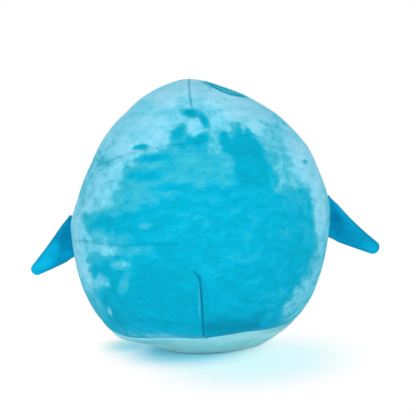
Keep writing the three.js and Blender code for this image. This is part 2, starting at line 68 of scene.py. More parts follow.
# Seams: the main one round the crown and sides, the belly's one round the front
SIDE_FORWARD = math.radians(3)
UNDER_TURN = math.radians(32)
UNDER_START = 0.68
BELLY_CORNER = math.radians(125)
BELLY_FRONT = math.radians(18)
FABRIC = 2 * MM
ROLL_WIDTH = 7 * MM
ROLL_DEPTH = 3.2 * MM
STITCH_DEPTH = 5.4 * MM
ALLOWANCE_DEPTH = 8.5 * MM
SEAM_GAP = 0.15 * MM
SLOT_HALF = 1.6 * MM
SLOT_TAPER = 5 * MM
SLOT_REACH = 12 * MM
# Threads in the seams, and the filling under them
THREAD_RADIUS = 0.6 * MM
FIN_THREAD_RADIUS = 0.4 * MM
CLOSING_THREAD_RADIUS = 0.7 * MM
CLOSING_LENGTH = 70 * MM
CLOSING_SHARE = 0.96
BELLY_THREAD_SHARE = 0.985
ZIGZAG = 0.3 * MM
ZIGZAG_STEP = 4 * MM
DART_THREAD_DEPTH = 1.3 * MM
DART_THREAD_SHARES = (0.08, 0.92)
# No thread runs this way
THREAD_SLANT = (0.13, 0.41, 0.9)
FILLING_DEPTH = 4.5 * MM
FILLING_SEAM_DEPTH = 6 * MM
FILLING_SEAM_WIDTH = 7 * MM

# Fins, in millimetres out from the root and up along it: how far they reach and drop, how much
# their root is let in at its top and goes on at its end, the tip's radius, and how far the upper
# and lower edges bulge
FIN_SIZES = {"left": (45, 42.5, 3, 4, 5.4, -1, 0.3), "right": (51, 45, 0.5, 2.5, 6.3, -2.2, 0.2)}
FIN_HALF_THICKNESS = 6.6 * MM
FIN_RIM = 1.3 * MM
FIN_FABRIC = 1.2 * MM
FIN_TAB_LENGTH = 9 * MM
FIN_ROOT_SINK = 2 * MM
FIN_ROOT_HEIGHT = 137 * MM
FIN_ROOT_LENGTH = 46 * MM
FIN_TAB_TAPER = 2 * MM
FIN_MIDDLE_SHARES = (0.36, -0.38)
FIN_SHARES = np.concatenate([np.linspace(0.06, 0.86, 16), [0.9, 0.935, 0.96, 0.98, 0.992, 1.0]])
# How a fin's thickness falls off towards its edge and its root
FIN_ROUNDING = 2.2
FIN_FULLNESS = 0.62
FIN_SWELL_RANGE = (-1 * MM, 15 * MM)
FIN_ROOT_SHARE = 0.12
FIN_LEAST_HALF = 0.12 * MM
# The rolled edge of each face, which ends by the other one
FIN_RIM_HALF = 0.975 * MM
FIN_RIM_GAP = 0.08 * MM
FIN_RIM_TURNS = (math.radians(30), math.radians(60), math.radians(85))
FIN_RIM_RANGE = (-1 * MM, 8 * MM)
FIN_TURN_IN = 0.3 * MM
FIN_PUCKER_WAVE = 1.9 * MM
FIN_PUCKER_WIDTH = 0.07
FIN_PUCKER_SHARE = 0.1
FIN_PUCKER_START = 3 * MM
FIN_FILLING_SHARES = (0.1, 0.25, 0.4, 0.55, 0.7, 0.8)
FIN_FILLING_GAP = 0.3 * MM
FIN_FILLING_START = 2 * MM
FIN_FILLING_LEAST = 0.1 * MM
FIN_THREAD_START = 1 * MM
FIN_THREAD_SHARE = 0.975

# Embroidery: raised ovals and a sagging line of satin stitches
EYE_WIDTH = 17 * MM
EYE_HEIGHT = 22 * MM
EYE_SIDE = math.radians(30)
EYE_RISE = math.radians(8)
MOUTH_WIDTH = 46 * MM
MOUTH_SAG = 9 * MM
MOUTH_LINE = 3.2 * MM
MOUTH_DROP = math.radians(3)
PAD_HEIGHT = 1.7 * MM
PAD_SINK = 0.6 * MM
STITCH_ROW = 0.8 * MM
STITCH_RELIEF = 0.14 * MM
# How far stitches widen the pads, rows crowd at an eye's edge, and tops are flat
EYE_STITCH_SPREAD = 0.012
EYE_CROWDING = 1.25
EYE_FLATNESS = 5
EYE_UNDERSIDE = (0.97, 0.6, 0.2)
MOUTH_STITCH_SPREAD = 0.05
MOUTH_HEIGHT_SHARE = 0.9
MOUTH_UNDERSIDE = 0.9
MOUTH_FLATNESS = 0.7
LEAST_SHARE = 0.02

# The photograph's view
IMAGE_SIZE = 416
VIEW_DISTANCE = 1.6
VIEW_ANGLE = math.radians(16.16)
VIEW_RISE = math.radians(7.5)
VIEW_ROLL = math.radians(4)
BODY_PIXEL = (199.5, 213.5)
BODY_MIDDLE = Vector((0, 0, 150 * MM))
# Pixels for a slope of one, and how picture places run along the camera's axes
SLOPE_PIXELS = IMAGE_SIZE / 2 / math.tan(VIEW_ANGLE / 2)
PIXEL_WAYS = np.array([1, -1])


def linked(name, data):
    """A new object, in the scene."""
    thing = bpy.data.objects.new(name, data)
    bpy.context.scene.collection.objects.link(thing)
    return thing


# Camera


def make_camera():
    data = bpy.data.cameras.new("camera")
    data.sensor_fit = "HORIZONTAL"
    data.angle = VIEW_ANGLE
    data.shift_x = (IMAGE_SIZE / 2 - BODY_PIXEL[0]) / IMAGE_SIZE
    data.shift_y = (BODY_PIXEL[1] - IMAGE_SIZE / 2) / IMAGE_SIZE
    camera = linked("camera", data)
    towards = Vector((0, math.cos(VIEW_RISE), math.sin(VIEW_RISE)))
    look = (-towards).to_track_quat("-Z", "Y").to_matrix()
    roll = Matrix.Rotation(VIEW_ROLL, 3, -towards)
    camera.matrix_world = Matrix.Translation(BODY_MIDDLE + towards * VIEW_DISTANCE) @ (roll @ look).to_4x4()
    bpy.context.scene.camera = camera
    return camera


camera_matrix = np.array(make_camera().matrix_world)
CAMERA_PLACE = camera_matrix[:3, 3]
CAMERA_AXES = camera_matrix[:3, :3]


def pixels_of(points):
    """Picture places of points, from the camera's own numbers."""
    away = (points - CAMERA_PLACE) @ CAMERA_AXES
    return BODY_PIXEL + away[:, :2] / -away[:, 2:] * SLOPE_PIXELS * PIXEL_WAYS


def camera_rays(places):
    """Directions from the camera through picture places."""
    slopes = (places - BODY_PIXEL) * PIXEL_WAYS / SLOPE_PIXELS
    return unit(np.column_stack([slopes, -np.ones(len(places))]) @ CAMERA_AXES.T)


def facing_camera(points, normals):
    """How far a surface faces the photograph's camera, -1 to 1."""
    return np.einsum("ij,ij->i", normals, unit(CAMERA_PLACE - points))


# Body surface, on rays from the middle of the body


def unit(vectors):
    """Vectors at a length of one."""
    return vectors / np.maximum(np.linalg.norm(vectors, axis=-1, keepdims=True), LEAST_LENGTH)


def smooth(low, high, values):
    """Shares that ease from 0 at low to 1 at high."""
    share = np.clip((values - low) / (high - low), 0, 1)
    return share * share * (3 - 2 * share)


def bell(values):
    """Shares that fall off from 1 at 0."""
    return np.exp(-(values**2))


def lengths_along(points):
    """Distance to each point of a line from its first one."""
    return np.concatenate([[0], np.cumsum(np.linalg.norm(np.diff(points, axis=0), axis=1))])


def points_along(at, lengths, points):
    """Points of a line at some lengths along it."""
    return np.stack([np.interp(at, lengths, column) for column in points.T], -1)


def around(count):
    """Angles round a circle."""
    return np.linspace(0, 2 * math.pi, count, endpoint=False)


def surface(rays):
    """Points of the egg on rays from its centre, and the normals there."""
    upward = rays[..., 2] > 0
    reach = np.where(upward, CROWN_REACH, BASE_REACH)
    power = np.where(upward, CROWN_POWER, BASE_POWER)
    level = np.hypot(rays[..., 0] / BODY_HALF_WIDTH, rays[..., 1] / BODY_HALF_DEPTH)
    rise = np.abs(rays[..., 2]) / reach
    radius = (level**power + rise**power) ** (-1 / power)
    points = CENTRE + rays * radius[..., None]
    steepness = np.maximum(level, LEVEL_FLOOR) ** (power - 2)
    across = rays[..., 0] / BODY_HALF_WIDTH**2 * steepness
    along = rays[..., 1] / BODY_HALF_DEPTH**2 * steepness
    normals = unit(np.stack([across, along, np.sign(rays[..., 2]) * rise ** (power - 1) / reach], -1))
    flat = points[..., 2] < 0
    points[flat, 2] = 0
    normals[flat] = (0, 0, -1)
    return points, normals


def seam_ray(turn):
    """The main seam's ray at a turn from the crown, towards +X first."""
    under = smooth(UNDER_START, 1, -np.cos(turn))
    tilt = math.pi / 2 + SIDE_FORWARD * np.sin(turn) ** 2 - UNDER_TURN * under
    level = np.sin(tilt)
    return np.stack([level * np.sin(turn), np.cos(tilt), level * np.cos(turn)], -1)


corner = seam_ray(BELLY_CORNER)
CORNER_SIDE = math.atan2(corner[0], -corner[1])
CORNER_RISE = math.asin(corner[2])


def front_ray(side, rise):
    """The ray at an angle to the side of the front and an angle up."""
    return np.stack([np.cos(rise) * np.sin(side), -np.cos(rise) * np.cos(side), np.sin(rise)], -1)


def belly_ray(side):
    """The belly seam's ray at an angle from the middle of the front."""
    sideways = (1 - np.cos(side)) / (1 - math.cos(CORNER_SIDE))
    return front_ray(side, -BELLY_FRONT + (CORNER_RISE + BELLY_FRONT) * sideways)


def evened(rays, count, weight=None):
    """Rays along a line again, evenly spaced or closer where the weight is high."""
    points, _ = surface(rays)
    steps = np.linalg.norm(np.diff(points, axis=0), axis=1)
    if weight is not None:
        steps = steps * (weight(rays[1:]) + weight(rays[:-1])) / 2
    length = np.concatenate([[0], np.cumsum(steps)])
    return unit(points_along(np.linspace(0, length[-1], count), length, rays))


LINE_POINTS = 4000
main_line = seam_ray(np.linspace(0, 2 * math.pi, 2 * LINE_POINTS))
upper_line = seam_ray(np.linspace(BELLY_CORNER, -BELLY_CORNER, LINE_POINTS))
lower_line = seam_ray(np.linspace(BELLY_CORNER, 2 * math.pi - BELLY_CORNER, LINE_POINTS))
belly_line = belly_ray(np.linspace(-CORNER_SIDE, CORNER_SIDE, LINE_POINTS))
seam_points = np.concatenate([surface(main_line)[0], surface(belly_line)[0]])
seam_tree = KDTree(len(seam_points))
for index, point in enumerate(seam_points):
    seam_tree.insert(point, index)
seam_tree.balance()


def seam_distance(points):
    """How far points are from the nearest seam."""
    flat = points.reshape(-1, 3)
    return np.array([seam_tree.find(point)[2] for point in flat]).reshape(points.shape[:-1])


# Soft relief: what the filling and the sewing do to the round skin

# Folds seen in the photograph: places, half-width in pixels, depth in millimetres, the heights
# of the lips to the left and right of the way the places run, and how dark the painted shade at
# the fold's bottom is
CROWN_DART_LINE = [(188, 72), (189.5, 95), (192.3, 110)]
BASE_DART_LINE = [(190, 271), (196.5, 273.5), (200, 281), (202, 305), (204.4, 346)]
FOLDS = [
    (CROWN_DART_LINE, 0.8, 1.6, 0.3, 0.3, 0.45),
    (BASE_DART_LINE, 1.0, 2.2, 1.1, 0.5, 0.38),
    ([(98, 166), (124, 155), (147, 149), (170, 145), (202, 142.5)], 0.9, 0.8, 0.3, 0.4, 0.42),
    ([(74, 240), (98, 243), (120, 246), (150, 244), (180, 245)], 0.9, 0.8, 0.3, 0.4, 0.36),
    ([(107, 304), (118, 321), (129, 338)], 1.6, 1.4, 0.8, 0.6, 0.35),
    ([(103, 296), (109, 305)], 2.2, 0.9, 0.5, 0.5, 0.2),
    ([(183, 109), (193, 112.5), (204, 110)], 2.6, 1.1, 0.4, 0.4, 0.3),
    ([(198, 115), (206, 126)], 2.2, 0.8, 0.2, 0.3, 0.25),
    ([(177, 143), (187, 125)], 2.6, 0.5, 0.2, 0.2, 0.15),
    ([(281, 305), (290, 297)], 1.6, 0.8, 0.4, 0.4, 0.25),
    ([(230, 325), (241, 332)], 1.6, 0.6, 0.3, 0.3, 0.15),
    # Only painted shade here: a dark band low on the back, with no groove and no lips.
    ([(204, 327), (262, 325)], 9.0, 0.0, 0.0, 0.0, 0.4),
    ([(236, 243), (300, 262)], 6.0, 0.7, 0.3, 0.3, 0.0),
    ([(130, 250), (178, 270)], 5.0, 0.6, 0.3, 0.3, 0.0),
]
# Hollows and swellings: place, half-width and half-height in pixels, height in millimetres
SWELLINGS = [
    (187, 268, 9, 7, -2.2),
    (203, 262, 14, 9, 0.8),
    (192, 300, 5, 30, 0.7),
    (211, 303, 6, 30, 0.9),
    (193, 112, 12, 7, -1.2),
    (170, 92, 18, 10, 0.8),
    (210, 98, 14, 9, 0.8),
    (120, 325, 12, 10, -1.0),
]
# The dimple at the right of the crown, from above: places and sizes in millimetres. Its fold's
# bottom gets painted shade, and its stroke of deep pile is partly painted shade of the hollow
CROWN_LINE = [(-19, 5), (-21, 15), (-26, 24), (-33, 29.5), (-41, 30), (-49, 25.5), (-56, 17)]
CROWN_FOLD = (CROWN_LINE, 1.8, 2.4, 1.0, 0.0, 0.62)
CROWN_DIMPLE = (-38, 9, 13, 14, -3.5)
CROWN_STROKE = (-38, 13, 20, 16, 0, 0.07, 0.42)
# A fold's ends fade over a length. Its lips' offset and width are in its half-widths
FOLD_FADE = 4
LIP_OFFSET = 2.2
LIP_WIDTH = 1.6
# How far a surface faces the camera, or up, where what is drawn in that view fades in
SEEN_RANGE = (-0.1, 0.12)
FOLD_RANGE = (-0.1, 0.1)
NAP_RANGE = (-0.15, 0.15)
UPWARD_RANGE = (0.3, 0.6)
# Waves of the skin, and the pucker's share along the seams: height, length and seed
UNEVEN_WAVES = ((0.9 * MM, 60 * MM, 1), (0.35 * MM, 24 * MM, 2))
PUCKER_WAVES = ((0.25, 9 * MM, 3),)
# The skin gets smooth near the eyes and mouth and towards the base
FACE_SMOOTH = (16 * MM, 40 * MM)
BASE_SMOOTH = (0, 12 * MM)


def across_line(places, line):
    """Signed distance to a line of places, and a share that fades to 0 at the line's ends."""
    line = np.array(line, float)
    before = lengths_along(line)
    along = unit(np.diff(line, axis=0))
    away = places[:, None] - line[:-1]
    reach = np.clip(np.einsum("ijk,jk->ij", away, along), 0, np.diff(before))
    gap = np.linalg.norm(away - reach[..., None] * along, axis=2)
    side = np.sign(along[:, 0] * away[..., 1] - along[:, 1] * away[..., 0])
    nearest = (np.arange(len(places)), gap.argmin(axis=1))
    done = (before[:-1] + reach)[nearest]
    return (gap * side)[nearest], smooth(0, FOLD_FADE, done) * smooth(0, FOLD_FADE, before[-1] - done)


def swelling_height(places, swelling):
    x, y, wide, high, rise = swelling
    return rise * MM * bell(np.hypot((places[:, 0] - x) / wide, (places[:, 1] - y) / high))


def fold_height(places, fold):
    """Height of a fold: a groove with a lip at each side."""
    line, width, depth, left_lip, right_lip, _ = fold
    signed, ends = across_line(places, line)
    height = -depth * bell(signed / width)
    for lip, offset in ((left_lip, LIP_OFFSET), (right_lip, -LIP_OFFSET)):
        height += lip * bell((signed + offset * width) / (LIP_WIDTH * width))
    return height * ends * MM


# Painted shade at the bottom of a fold, up to its darkness, fading at its ends.
def fold_painted_shade(places, fold):
    line, width, _, _, _, darkness = fold
    signed, ends = across_line(places, line)
    return bell(signed / width) * ends * darkness


def noise_at(points, scale, seed):
    """Smooth noise from -1 to 1 with features of about scale metres."""
    move = Vector((seed * 3.1, seed * 1.7, seed * 2.3))
    return np.array([noise.noise(Vector(point) / scale + move) for point in points])


def waves_at(points, waves):
    return sum(share * noise_at(points, length, seed) for share, length, seed in waves)


# The skin is held this near to a seam and this low while it is blown up
HELD_BESIDE_SEAM = 5 * MM
HELD_HEIGHT = 1 * MM
SWELL_SUBDIVISIONS = 5
SWELL_STEPS = 20
SWELL_PRESSURE = 4
SWELL_INSET = 3 * MM
SWELL_CAP = 4.5 * MM


def swell_tree():
    """The skin blown up by its filling between seams that hold it in: a cloth simulation."""
    ball = bpy.data.meshes.new("swelling")
    work = bmesh.new()
    bmesh.ops.create_icosphere(work, subdivisions=SWELL_SUBDIVISIONS, radius=1)
    rays = unit(np.array([v.co for v in work.verts]))
    points, normals = surface(rays)
    start = points - normals * SWELL_INSET
    start[:, 2] = np.maximum(start[:, 2], 0)
    for vertex, place in zip(work.verts, start):
        vertex.co = place
    work.to_mesh(ball)
    work.free()
    piece = linked("swelling", ball)
    held = (seam_distance(points) < HELD_BESIDE_SEAM) | (points[:, 2] < HELD_HEIGHT)
    group = piece.vertex_groups.new(name="held")
    group.add(np.flatnonzero(held).tolist(), 1.0, "REPLACE")
    settings = piece.modifiers.new("Cloth", "CLOTH").settings
    settings.vertex_group_mass = "held"
    settings.use_pressure = True
    settings.uniform_pressure_force = SWELL_PRESSURE
    settings.effector_weights.gravity = 0
    for step in range(1, SWELL_STEPS + 1):
        bpy.context.scene.frame_set(step)
    swollen = piece.evaluated_get(bpy.context.evaluated_depsgraph_get()).data
    after = np.array([v.co for v in swollen.vertices])
    moved = after - start
    reach = np.linalg.norm(moved, axis=1, keepdims=True)
    after = start + moved * np.minimum(1, SWELL_CAP / np.maximum(reach, LEAST_LENGTH))
    tree = BVHTree.FromPolygons(after.tolist(), [tuple(p.vertices) for p in ball.polygons])
    bpy.context.scene.frame_set(1)
    bpy.data.objects.remove(piece)
    bpy.data.meshes.remove(ball)
    return tree


swollen_skin = swell_tree()


def swell_height(rays, points):
    """How far the simulated skin stands out from the round body."""
    heights = np.zeros(len(points))
    if swollen_skin is None:
        return heights
    radii = np.linalg.norm(points - CENTRE, axis=1)
    for k, ray in enumerate(rays):
        hit, _, _, distance = swollen_skin.ray_cast(Vector(CENTRE), Vector(ray))
        if hit is not None:
            heights[k] = distance - radii[k]
    return np.clip(heights, -SWELL_INSET, SWELL_CAP - SWELL_INSET)


# Outline: heights and how far the middle leans towards +X there, in millimetres, and the
# width's share of the egg's
OUTLINE = np.array(
    [
        (0, -9, 1.45), (2.5, -8.5, 1.2), (5.6, -7.5, 1.1), (14.4, -2.5, 1.08), (22, 4.7, 1.12),
        (29.5, 3.9, 1.08), (42.6, 2.9, 1.038), (56, 2.4, 1.02), (69, 2.4, 1.005), (82, 1.9, 0.998),
        (95.5, 1.4, 0.994), (111, 0.8, 0.993), (150, -0.5, 1), (175, -3.2, 0.98), (189, -3.6, 0.981),
        (215, -4.9, 0.987), (241, -2.6, 0.992), (254, -2.4, 0.997), (267, -0.7, 0.985),
        (280, 2, 0.99), (293, 4.5, 0.95), (300, 6, 0.9),
    ]
)
# The lean grows from nothing to all of it here, from the front to the back
LEAN_RANGE = (-75 * MM, -15 * MM)

FACE_SIDES = np.array([EYE_SIDE, -EYE_SIDE, 0])
FACE_RISES = np.array([EYE_RISE, EYE_RISE, -MOUTH_DROP])
FACE_PLACES = surface(front_ray(FACE_SIDES, FACE_RISES))[0]


def lean(points):
    """The body's points moved to the outline that the photograph shows."""
    shift = np.interp(points[:, 2], OUTLINE[:, 0] * MM, OUTLINE[:, 1] * MM)
    width = np.interp(points[:, 2], OUTLINE[:, 0] * MM, OUTLINE[:, 2])
    weight = smooth(*LEAN_RANGE, points[:, 1])
    moved = points.copy()
    moved[:, 0] += (shift + points[:, 0] * (width - 1)) * weight
    return moved


def facing_up(normals):
    return smooth(*UPWARD_RANGE, normals[:, 2])


def relief(rays, points, normals):
    """Height of the soft skin over the round body, with its seams' rolls left out."""
    leaning = lean(points)
    places = pixels_of(leaning)
    height = sum(fold_height(places, fold) for fold in FOLDS)
    height += sum(swelling_height(places, swelling) for swelling in SWELLINGS)
    height *= smooth(*SEEN_RANGE, facing_camera(points, normals))
    above = leaning[:, :2] / MM
    crown = fold_height(above, CROWN_FOLD) + swelling_height(above, CROWN_DIMPLE)
    height += crown * facing_up(normals)
    soft = swell_height(rays, points) + waves_at(points, UNEVEN_WAVES)
    for place in FACE_PLACES:
        soft *= smooth(*FACE_SMOOTH, np.linalg.norm(points - place, axis=1))
    return height + soft * smooth(*BASE_SMOOTH, points[:, 2])


def skin_at(rays, depth):
    """Points of the soft skin, a depth under it."""
    flat = rays.reshape(-1, 3)
    points, normals = surface(flat)
    share = np.clip(seam_distance(points) / ROLL_WIDTH, 0, 1)
    pucker = 1 + waves_at(points, PUCKER_WAVES)
    rolled = ROLL_DEPTH * pucker * (1 - np.sqrt(1 - (1 - share) ** 2))
    sunk = np.broadcast_to(depth, rays.shape[:-1]).reshape(-1)
    height = relief(flat, points, normals) - rolled - sunk
    moved = points + normals * height[:, None]
    moved[:, 2] = np.where(sunk == 0, np.maximum(moved[:, 2], 0), moved[:, 2])
    return lean(moved).reshape(rays.shape)


# Panels of the body


def inward_of(border, pole):
    """Surface points of a border and the way across it, into the panel."""
    points, normals = surface(border)
    along = unit(np.roll(points, -1, axis=0) - np.roll(points, 1, axis=0))
    inward = unit(np.cross(normals, along))
    towards = surface(pole[None])[0] - points
    return points, inward * np.sign(np.einsum("ij,ij->", inward, towards))


def between(start, end, share):
    """Rays a share of the way from one to another."""
    angle = np.arccos(np.clip(np.sum(start * end, -1, keepdims=True), -1, 1))
    angle = np.maximum(angle, LEAST_ANGLE)
    return unit(np.sin((1 - share) * angle) * start + np.sin(share * angle) * end)


def ringed_piece(name, first, rings, last):
    """A closed piece from a first point through closed rings to a last point."""
    count = len(rings[0])
    points = np.concatenate([[first], *rings, [last]])
    here = np.arange(count)
    after = (here + 1) % count
    groups = [[0 * here, 1 + after, 1 + here]]
    for a in range(1, 1 + (len(rings) - 1) * count, count):
        b = a + count
        groups.append([a + here, a + after, b + after, b + here])
    end = len(points) - 1
    a = end - count
    groups.append([0 * here + end, a + here, a + after])
    faces = [face for group in groups for face in np.stack(group, -1).tolist()]
    mesh = bpy.data.meshes.new(name)
    mesh.from_pydata(points.tolist(), [], faces)
    mesh.update()
    work = bmesh.new()
    work.from_mesh(mesh)
    if work.calc_volume(signed=True) < 0:
        bmesh.ops.reverse_faces(work, faces=work.faces)
    work.to_mesh(mesh)
    work.free()
    mesh.shade_smooth()
    return linked(name, mesh)


def fin_slot(rays):
    """Half the opening of the main seam, wider where a fin's root lies."""
    points, _ = surface(rays)
    away = np.abs(points[:, 2] - FIN_ROOT_HEIGHT) - FIN_ROOT_LENGTH / 2
    beside = np.abs(points[:, 0]) > BODY_HALF_WIDTH / 2
    near = smooth(SLOT_TAPER, 0, away) * beside
    main = np.abs(points[:, 1]) < SLOT_REACH
    return SEAM_GAP + (SLOT_HALF - SEAM_GAP) * near * main


# How far from the seam a panel's rows near it lie, outside and inside
EDGE_STEPS = np.array([11, 8.5, 6.5, 5, 3.7, 2.6, 1.7, 1.0, 0.5, 0.15, 0]) * MM
INNER_STEPS = (1 * MM, 3 * MM, 6 * MM)
INNER_ROWS = 14
# Stations lie closer together near the darts at the crown and the base
DART_CROWDING = 2.5
DART_SPREAD = 0.16


def panel(name, border, pole, rows):
    """A fabric shell from its middle out to the seam, in along the seam and back inside."""
    points, inward = inward_of(border, pole)
    gap = fin_slot(border)[:, None]
    edge = unit(points + inward * gap - CENTRE)
    inside_edge = unit(points + inward * (gap + FABRIC) - CENTRE)
    angle = np.arccos(np.clip(edge @ pole, -1, 1))
    length = (angle * np.linalg.norm(points - CENTRE, axis=1))[:, None]
    broad = 1 - EDGE_STEPS[0] / length
    shares = [broad * step / rows for step in range(1, rows + 1)]
    shares += [1 - step / length for step in EDGE_STEPS[1:]]
    outer = np.stack([between(pole, edge, share) for share in shares])
    outside = skin_at(outer, 0)
    lip = skin_at(np.stack([edge, inside_edge]), ALLOWANCE_DEPTH - ROLL_DEPTH)
    inner_shares = [1 - (FABRIC + step) / length for step in INNER_STEPS]
    inner_shares += [broad * step / INNER_ROWS for step in range(INNER_ROWS, 0, -1)]
    inner = np.stack([between(pole, edge, share) for share in inner_shares])
    inside = skin_at(inner, FABRIC)
    first, last = skin_at(pole[None], 0)[0], skin_at(pole[None], FABRIC)[0]
    return ringed_piece(name, first, [*outside, *lip, *inside], last)


# Rays through the middles of the panels
BACK = np.array([0.0, 1.0, 0.0])
FACE_TILT = math.radians(30)
FACE_POLE = np.array([0.0, -math.cos(FACE_TILT), math.sin(FACE_TILT)])
DOWN = np.array([0.0, 0.0, -1.0])


def dart_weight(rays):
    return 1 + DART_CROWDING * bell(rays[:, 0] / DART_SPREAD)


def closed(*runs):
    """A border of runs that follow each other."""
    return np.concatenate([run[:-1] for run in runs])


back_border = evened(main_line, 421, dart_weight)[:-1]
face_border = closed(evened(upper_line, 241, dart_weight), evened(belly_line, 131))
belly_border = closed(evened(lower_line, 161, dart_weight), evened(belly_line, 121))

back_skin = panel("back_skin", back_border, BACK, rows=96)
face_skin = panel("face_skin", face_border, FACE_POLE, rows=56)
belly_skin = panel("belly_skin", belly_border, DOWN, rows=40)


# Nap and painted light: how much the pile lies brushed up and pale, 0 to 1, with painted rim
# sheen, highlights and shade laid into the same field

# Strokes of the pile, one laid over the other: place, half-length and half-width in pixels,
# slope in degrees, how pale the pile lies there, and how soft the stroke's edge is. Most are the
# pile's own pale and deep patches; some are painted light and shade, marked below.
STROKES = [
    (100, 200, 62, 34, -76, 0.6, 0.5),
    (150, 118, 66, 37, -50, 0.78, 0.22),
    # Along the crown's outline: partly pale pile, partly painted sheen and light from above.
    (196, 94, 46, 17, 2, 0.92, 0.3),
    (192, 118, 26, 20, 0, 0.7, 0.4),
    (218, 120, 20, 16, 20, 0.64, 0.4),
    (262, 118, 52, 20, 33, 0.86, 0.22),
    # Down the right outline: the pale strokes are partly pale pile, partly painted rim sheen.
    (291, 158, 46, 25, 68, 0.58, 0.18),
    (306, 160, 44, 13, 66, 0.86, 0.5),
    (298, 202, 18, 15, 0, 0.24, 0.4),
    (321, 212, 44, 8, 84, 0.84, 0.5),
    (319, 262, 42, 8, -76, 0.62, 0.4),
    (302, 300, 42, 12, -56, 0.66, 0.25),
    (186, 167, 60, 22, -7, 0.4, 0.3),
    (146, 186, 40, 16, -14, 0.4, 0.5),
    (100, 190, 34, 14, -62, 0.74, 0.5),
    (228, 161, 13, 11, 0, 0.42, 0.18),
    (213, 143, 13, 7, 85, 0.55, 0.3),
    # Under the crown dart's end: partly deep pile, partly painted shade of the pucker's hollow.
    (190.5, 113, 8, 3.6, 10, 0.0, 0.7),
    (204, 120, 7, 3.2, 60, 0.05, 0.7),
    (178, 134, 10, 5, -50, 0.12, 0.7),
    (201, 140, 8, 5, -40, 0.0, 0.5),
    (225, 140, 8, 4.5, 75, 0.0, 0.3),
    (241, 150, 15, 6, 4, 0.0, 0.3),
    (252, 170, 19, 16, 62, 0.02, 0.25),
    (141, 147, 8, 2.2, -8, 0.12, 0.5),
    (151, 158.5, 16, 4, -4, 0.1, 0.5),
    (146, 176, 16, 6, -4, 0.12, 0.5),
    (172, 187, 20, 3.5, -4, 0.12, 0.6),
    (128, 222, 46, 11, 2, 0.1, 0.45),
    # These two lay the deepest tone over the lower back, so it is darker towards the bottom.
    (160, 300, 52, 40, 0, 0.0, 0.8),
    (205, 325, 60, 12, -2, 0.05, 0.8),
    # Painted shade in the dimple above the base dart's hook.
    (186, 269, 8, 5, 0, 0.0, 0.8),
    (146, 226, 7, 3, 0, 0.42, 0.6),
    (112, 215, 8, 3, -6, 0.42, 0.6),
    # Left outline: partly pale pile, partly painted rim sheen.
    (76, 225, 36, 7, 84, 0.8, 0.5),
    # Under the crease: partly pale pile, partly a painted highlight on its lower lip.
    (104, 249.5, 26, 5.5, 6, 0.66, 0.4),
    (138, 251, 20, 4, 4, 0.32, 0.6),
    # Left outline: partly pale pile, partly painted rim sheen.
    (82, 270, 36, 9, 72, 0.8, 0.4),
    (119, 265, 10, 5, 0, 0.56, 0.5),
    (101, 270, 10, 5.5, -4, 0.06, 0.4),
    (101, 282, 10, 8, 0, 0.58, 0.4),
    (123.5, 284, 13, 5, -70, 0.45, 0.5),
    (113, 280, 8, 3, 85, 0.1, 0.5),
    (95, 302, 22, 5, 60, 0.5, 0.5),
    # A painted highlight by the lower-left wrinkle.
    (110, 311, 5, 2, 70, 0.8, 0.5),
    # A painted highlight along the lit edge of the lower-left wrinkle.
    (123, 331, 8, 1.4, 52, 0.75, 0.5),
    (155, 331, 44, 6, 3, 0.24, 0.8),
    (158, 336.5, 40, 3.2, 3, 0.6, 0.8),
    (250, 336, 44, 2.5, -8, 0.45, 0.7),
    (151, 321, 14, 8, 0, 0.14, 0.8),
    # A painted highlight on the base dart's left lip.
    (199.4, 301, 15, 1.0, 88, 0.42, 0.6),
    (305, 162, 2.5, 2, 0, 0.3, 0.8),
    # A painted highlight under the crown fold's lip.
    (228, 97, 15, 3, 12, 1.0, 0.6),
]
SMOOTH_LEVEL = 0.16
FIN_STROKES = [
    (62, 240, 12, 5, -70, 0.05, 0.6),
    (42, 264, 22, 9, -55, 0.8, 0.7),
    (67, 255, 6, 4, -30, 0.6, 0.6),
    (336, 220, 7, 12, 0, 0.12, 0.6),
    (346, 216, 22, 3, 48, 0.55, 0.6),
    (372, 249, 10, 8, 0, 0.66, 0.7),
]
FIN_LEVEL = 0.3
# Waves of the pile, as share, length and seed: at the strokes' edges, and where no stroke shows
RAGGED_WAVES = ((0.3, 11 * MM, 7), (0.2, 5 * MM, 8))
LOOSE_LEVEL = 0.5
LOOSE_WAVES = ((0.5, 70 * MM, 5), (0.25, 28 * MM, 6))


def laid_over(nap_and_painted_light, places, stroke, ragged, seen=1):
    """The field of pile and painted light with one more stroke over it, where that is seen."""
    x, y, long, wide, slope, pale, softness = stroke
    turn = math.radians(slope)
    dx, dy = places[:, 0] - x, places[:, 1] - y
    along = (dx * math.cos(turn) + dy * math.sin(turn)) / long
    across = (dy * math.cos(turn) - dx * math.sin(turn)) / wide
    share = 1 - smooth(1 - softness, 1 + softness, np.hypot(along, across) + ragged)
    return nap_and_painted_light + (pale - nap_and_painted_light) * (share * seen)


# Strokes over a smooth level: the pile's patches with painted rim sheen, highlights and shade among them.
def brushed(points, normals, strokes, smooth_level):
    places = pixels_of(points)
    ragged = waves_at(points, RAGGED_WAVES)
    stroked = np.full(len(points), smooth_level)
    for stroke in strokes:
        stroked = laid_over(stroked, places, stroke, ragged)
    loose = LOOSE_LEVEL + waves_at(points, LOOSE_WAVES)
    seen = smooth(*NAP_RANGE, facing_camera(points, normals))
    return np.clip(loose + (stroked - loose) * seen, 0, 1)


def nap_and_painted_light_of(points, _):
    normals = surface(unit(points - CENTRE))[1]
    nap_and_painted_light = brushed(points, normals, STROKES, SMOOTH_LEVEL)
    ragged = waves_at(points, RAGGED_WAVES)
    # The crown dimple's deep stroke, partly painted shade of its hollow.
    return laid_over(nap_and_painted_light, points[:, :2] / MM, CROWN_STROKE, ragged, facing_up(normals))


def fin_nap_of(points, normals):
    return brushed(points, normals, FIN_STROKES, FIN_LEVEL)


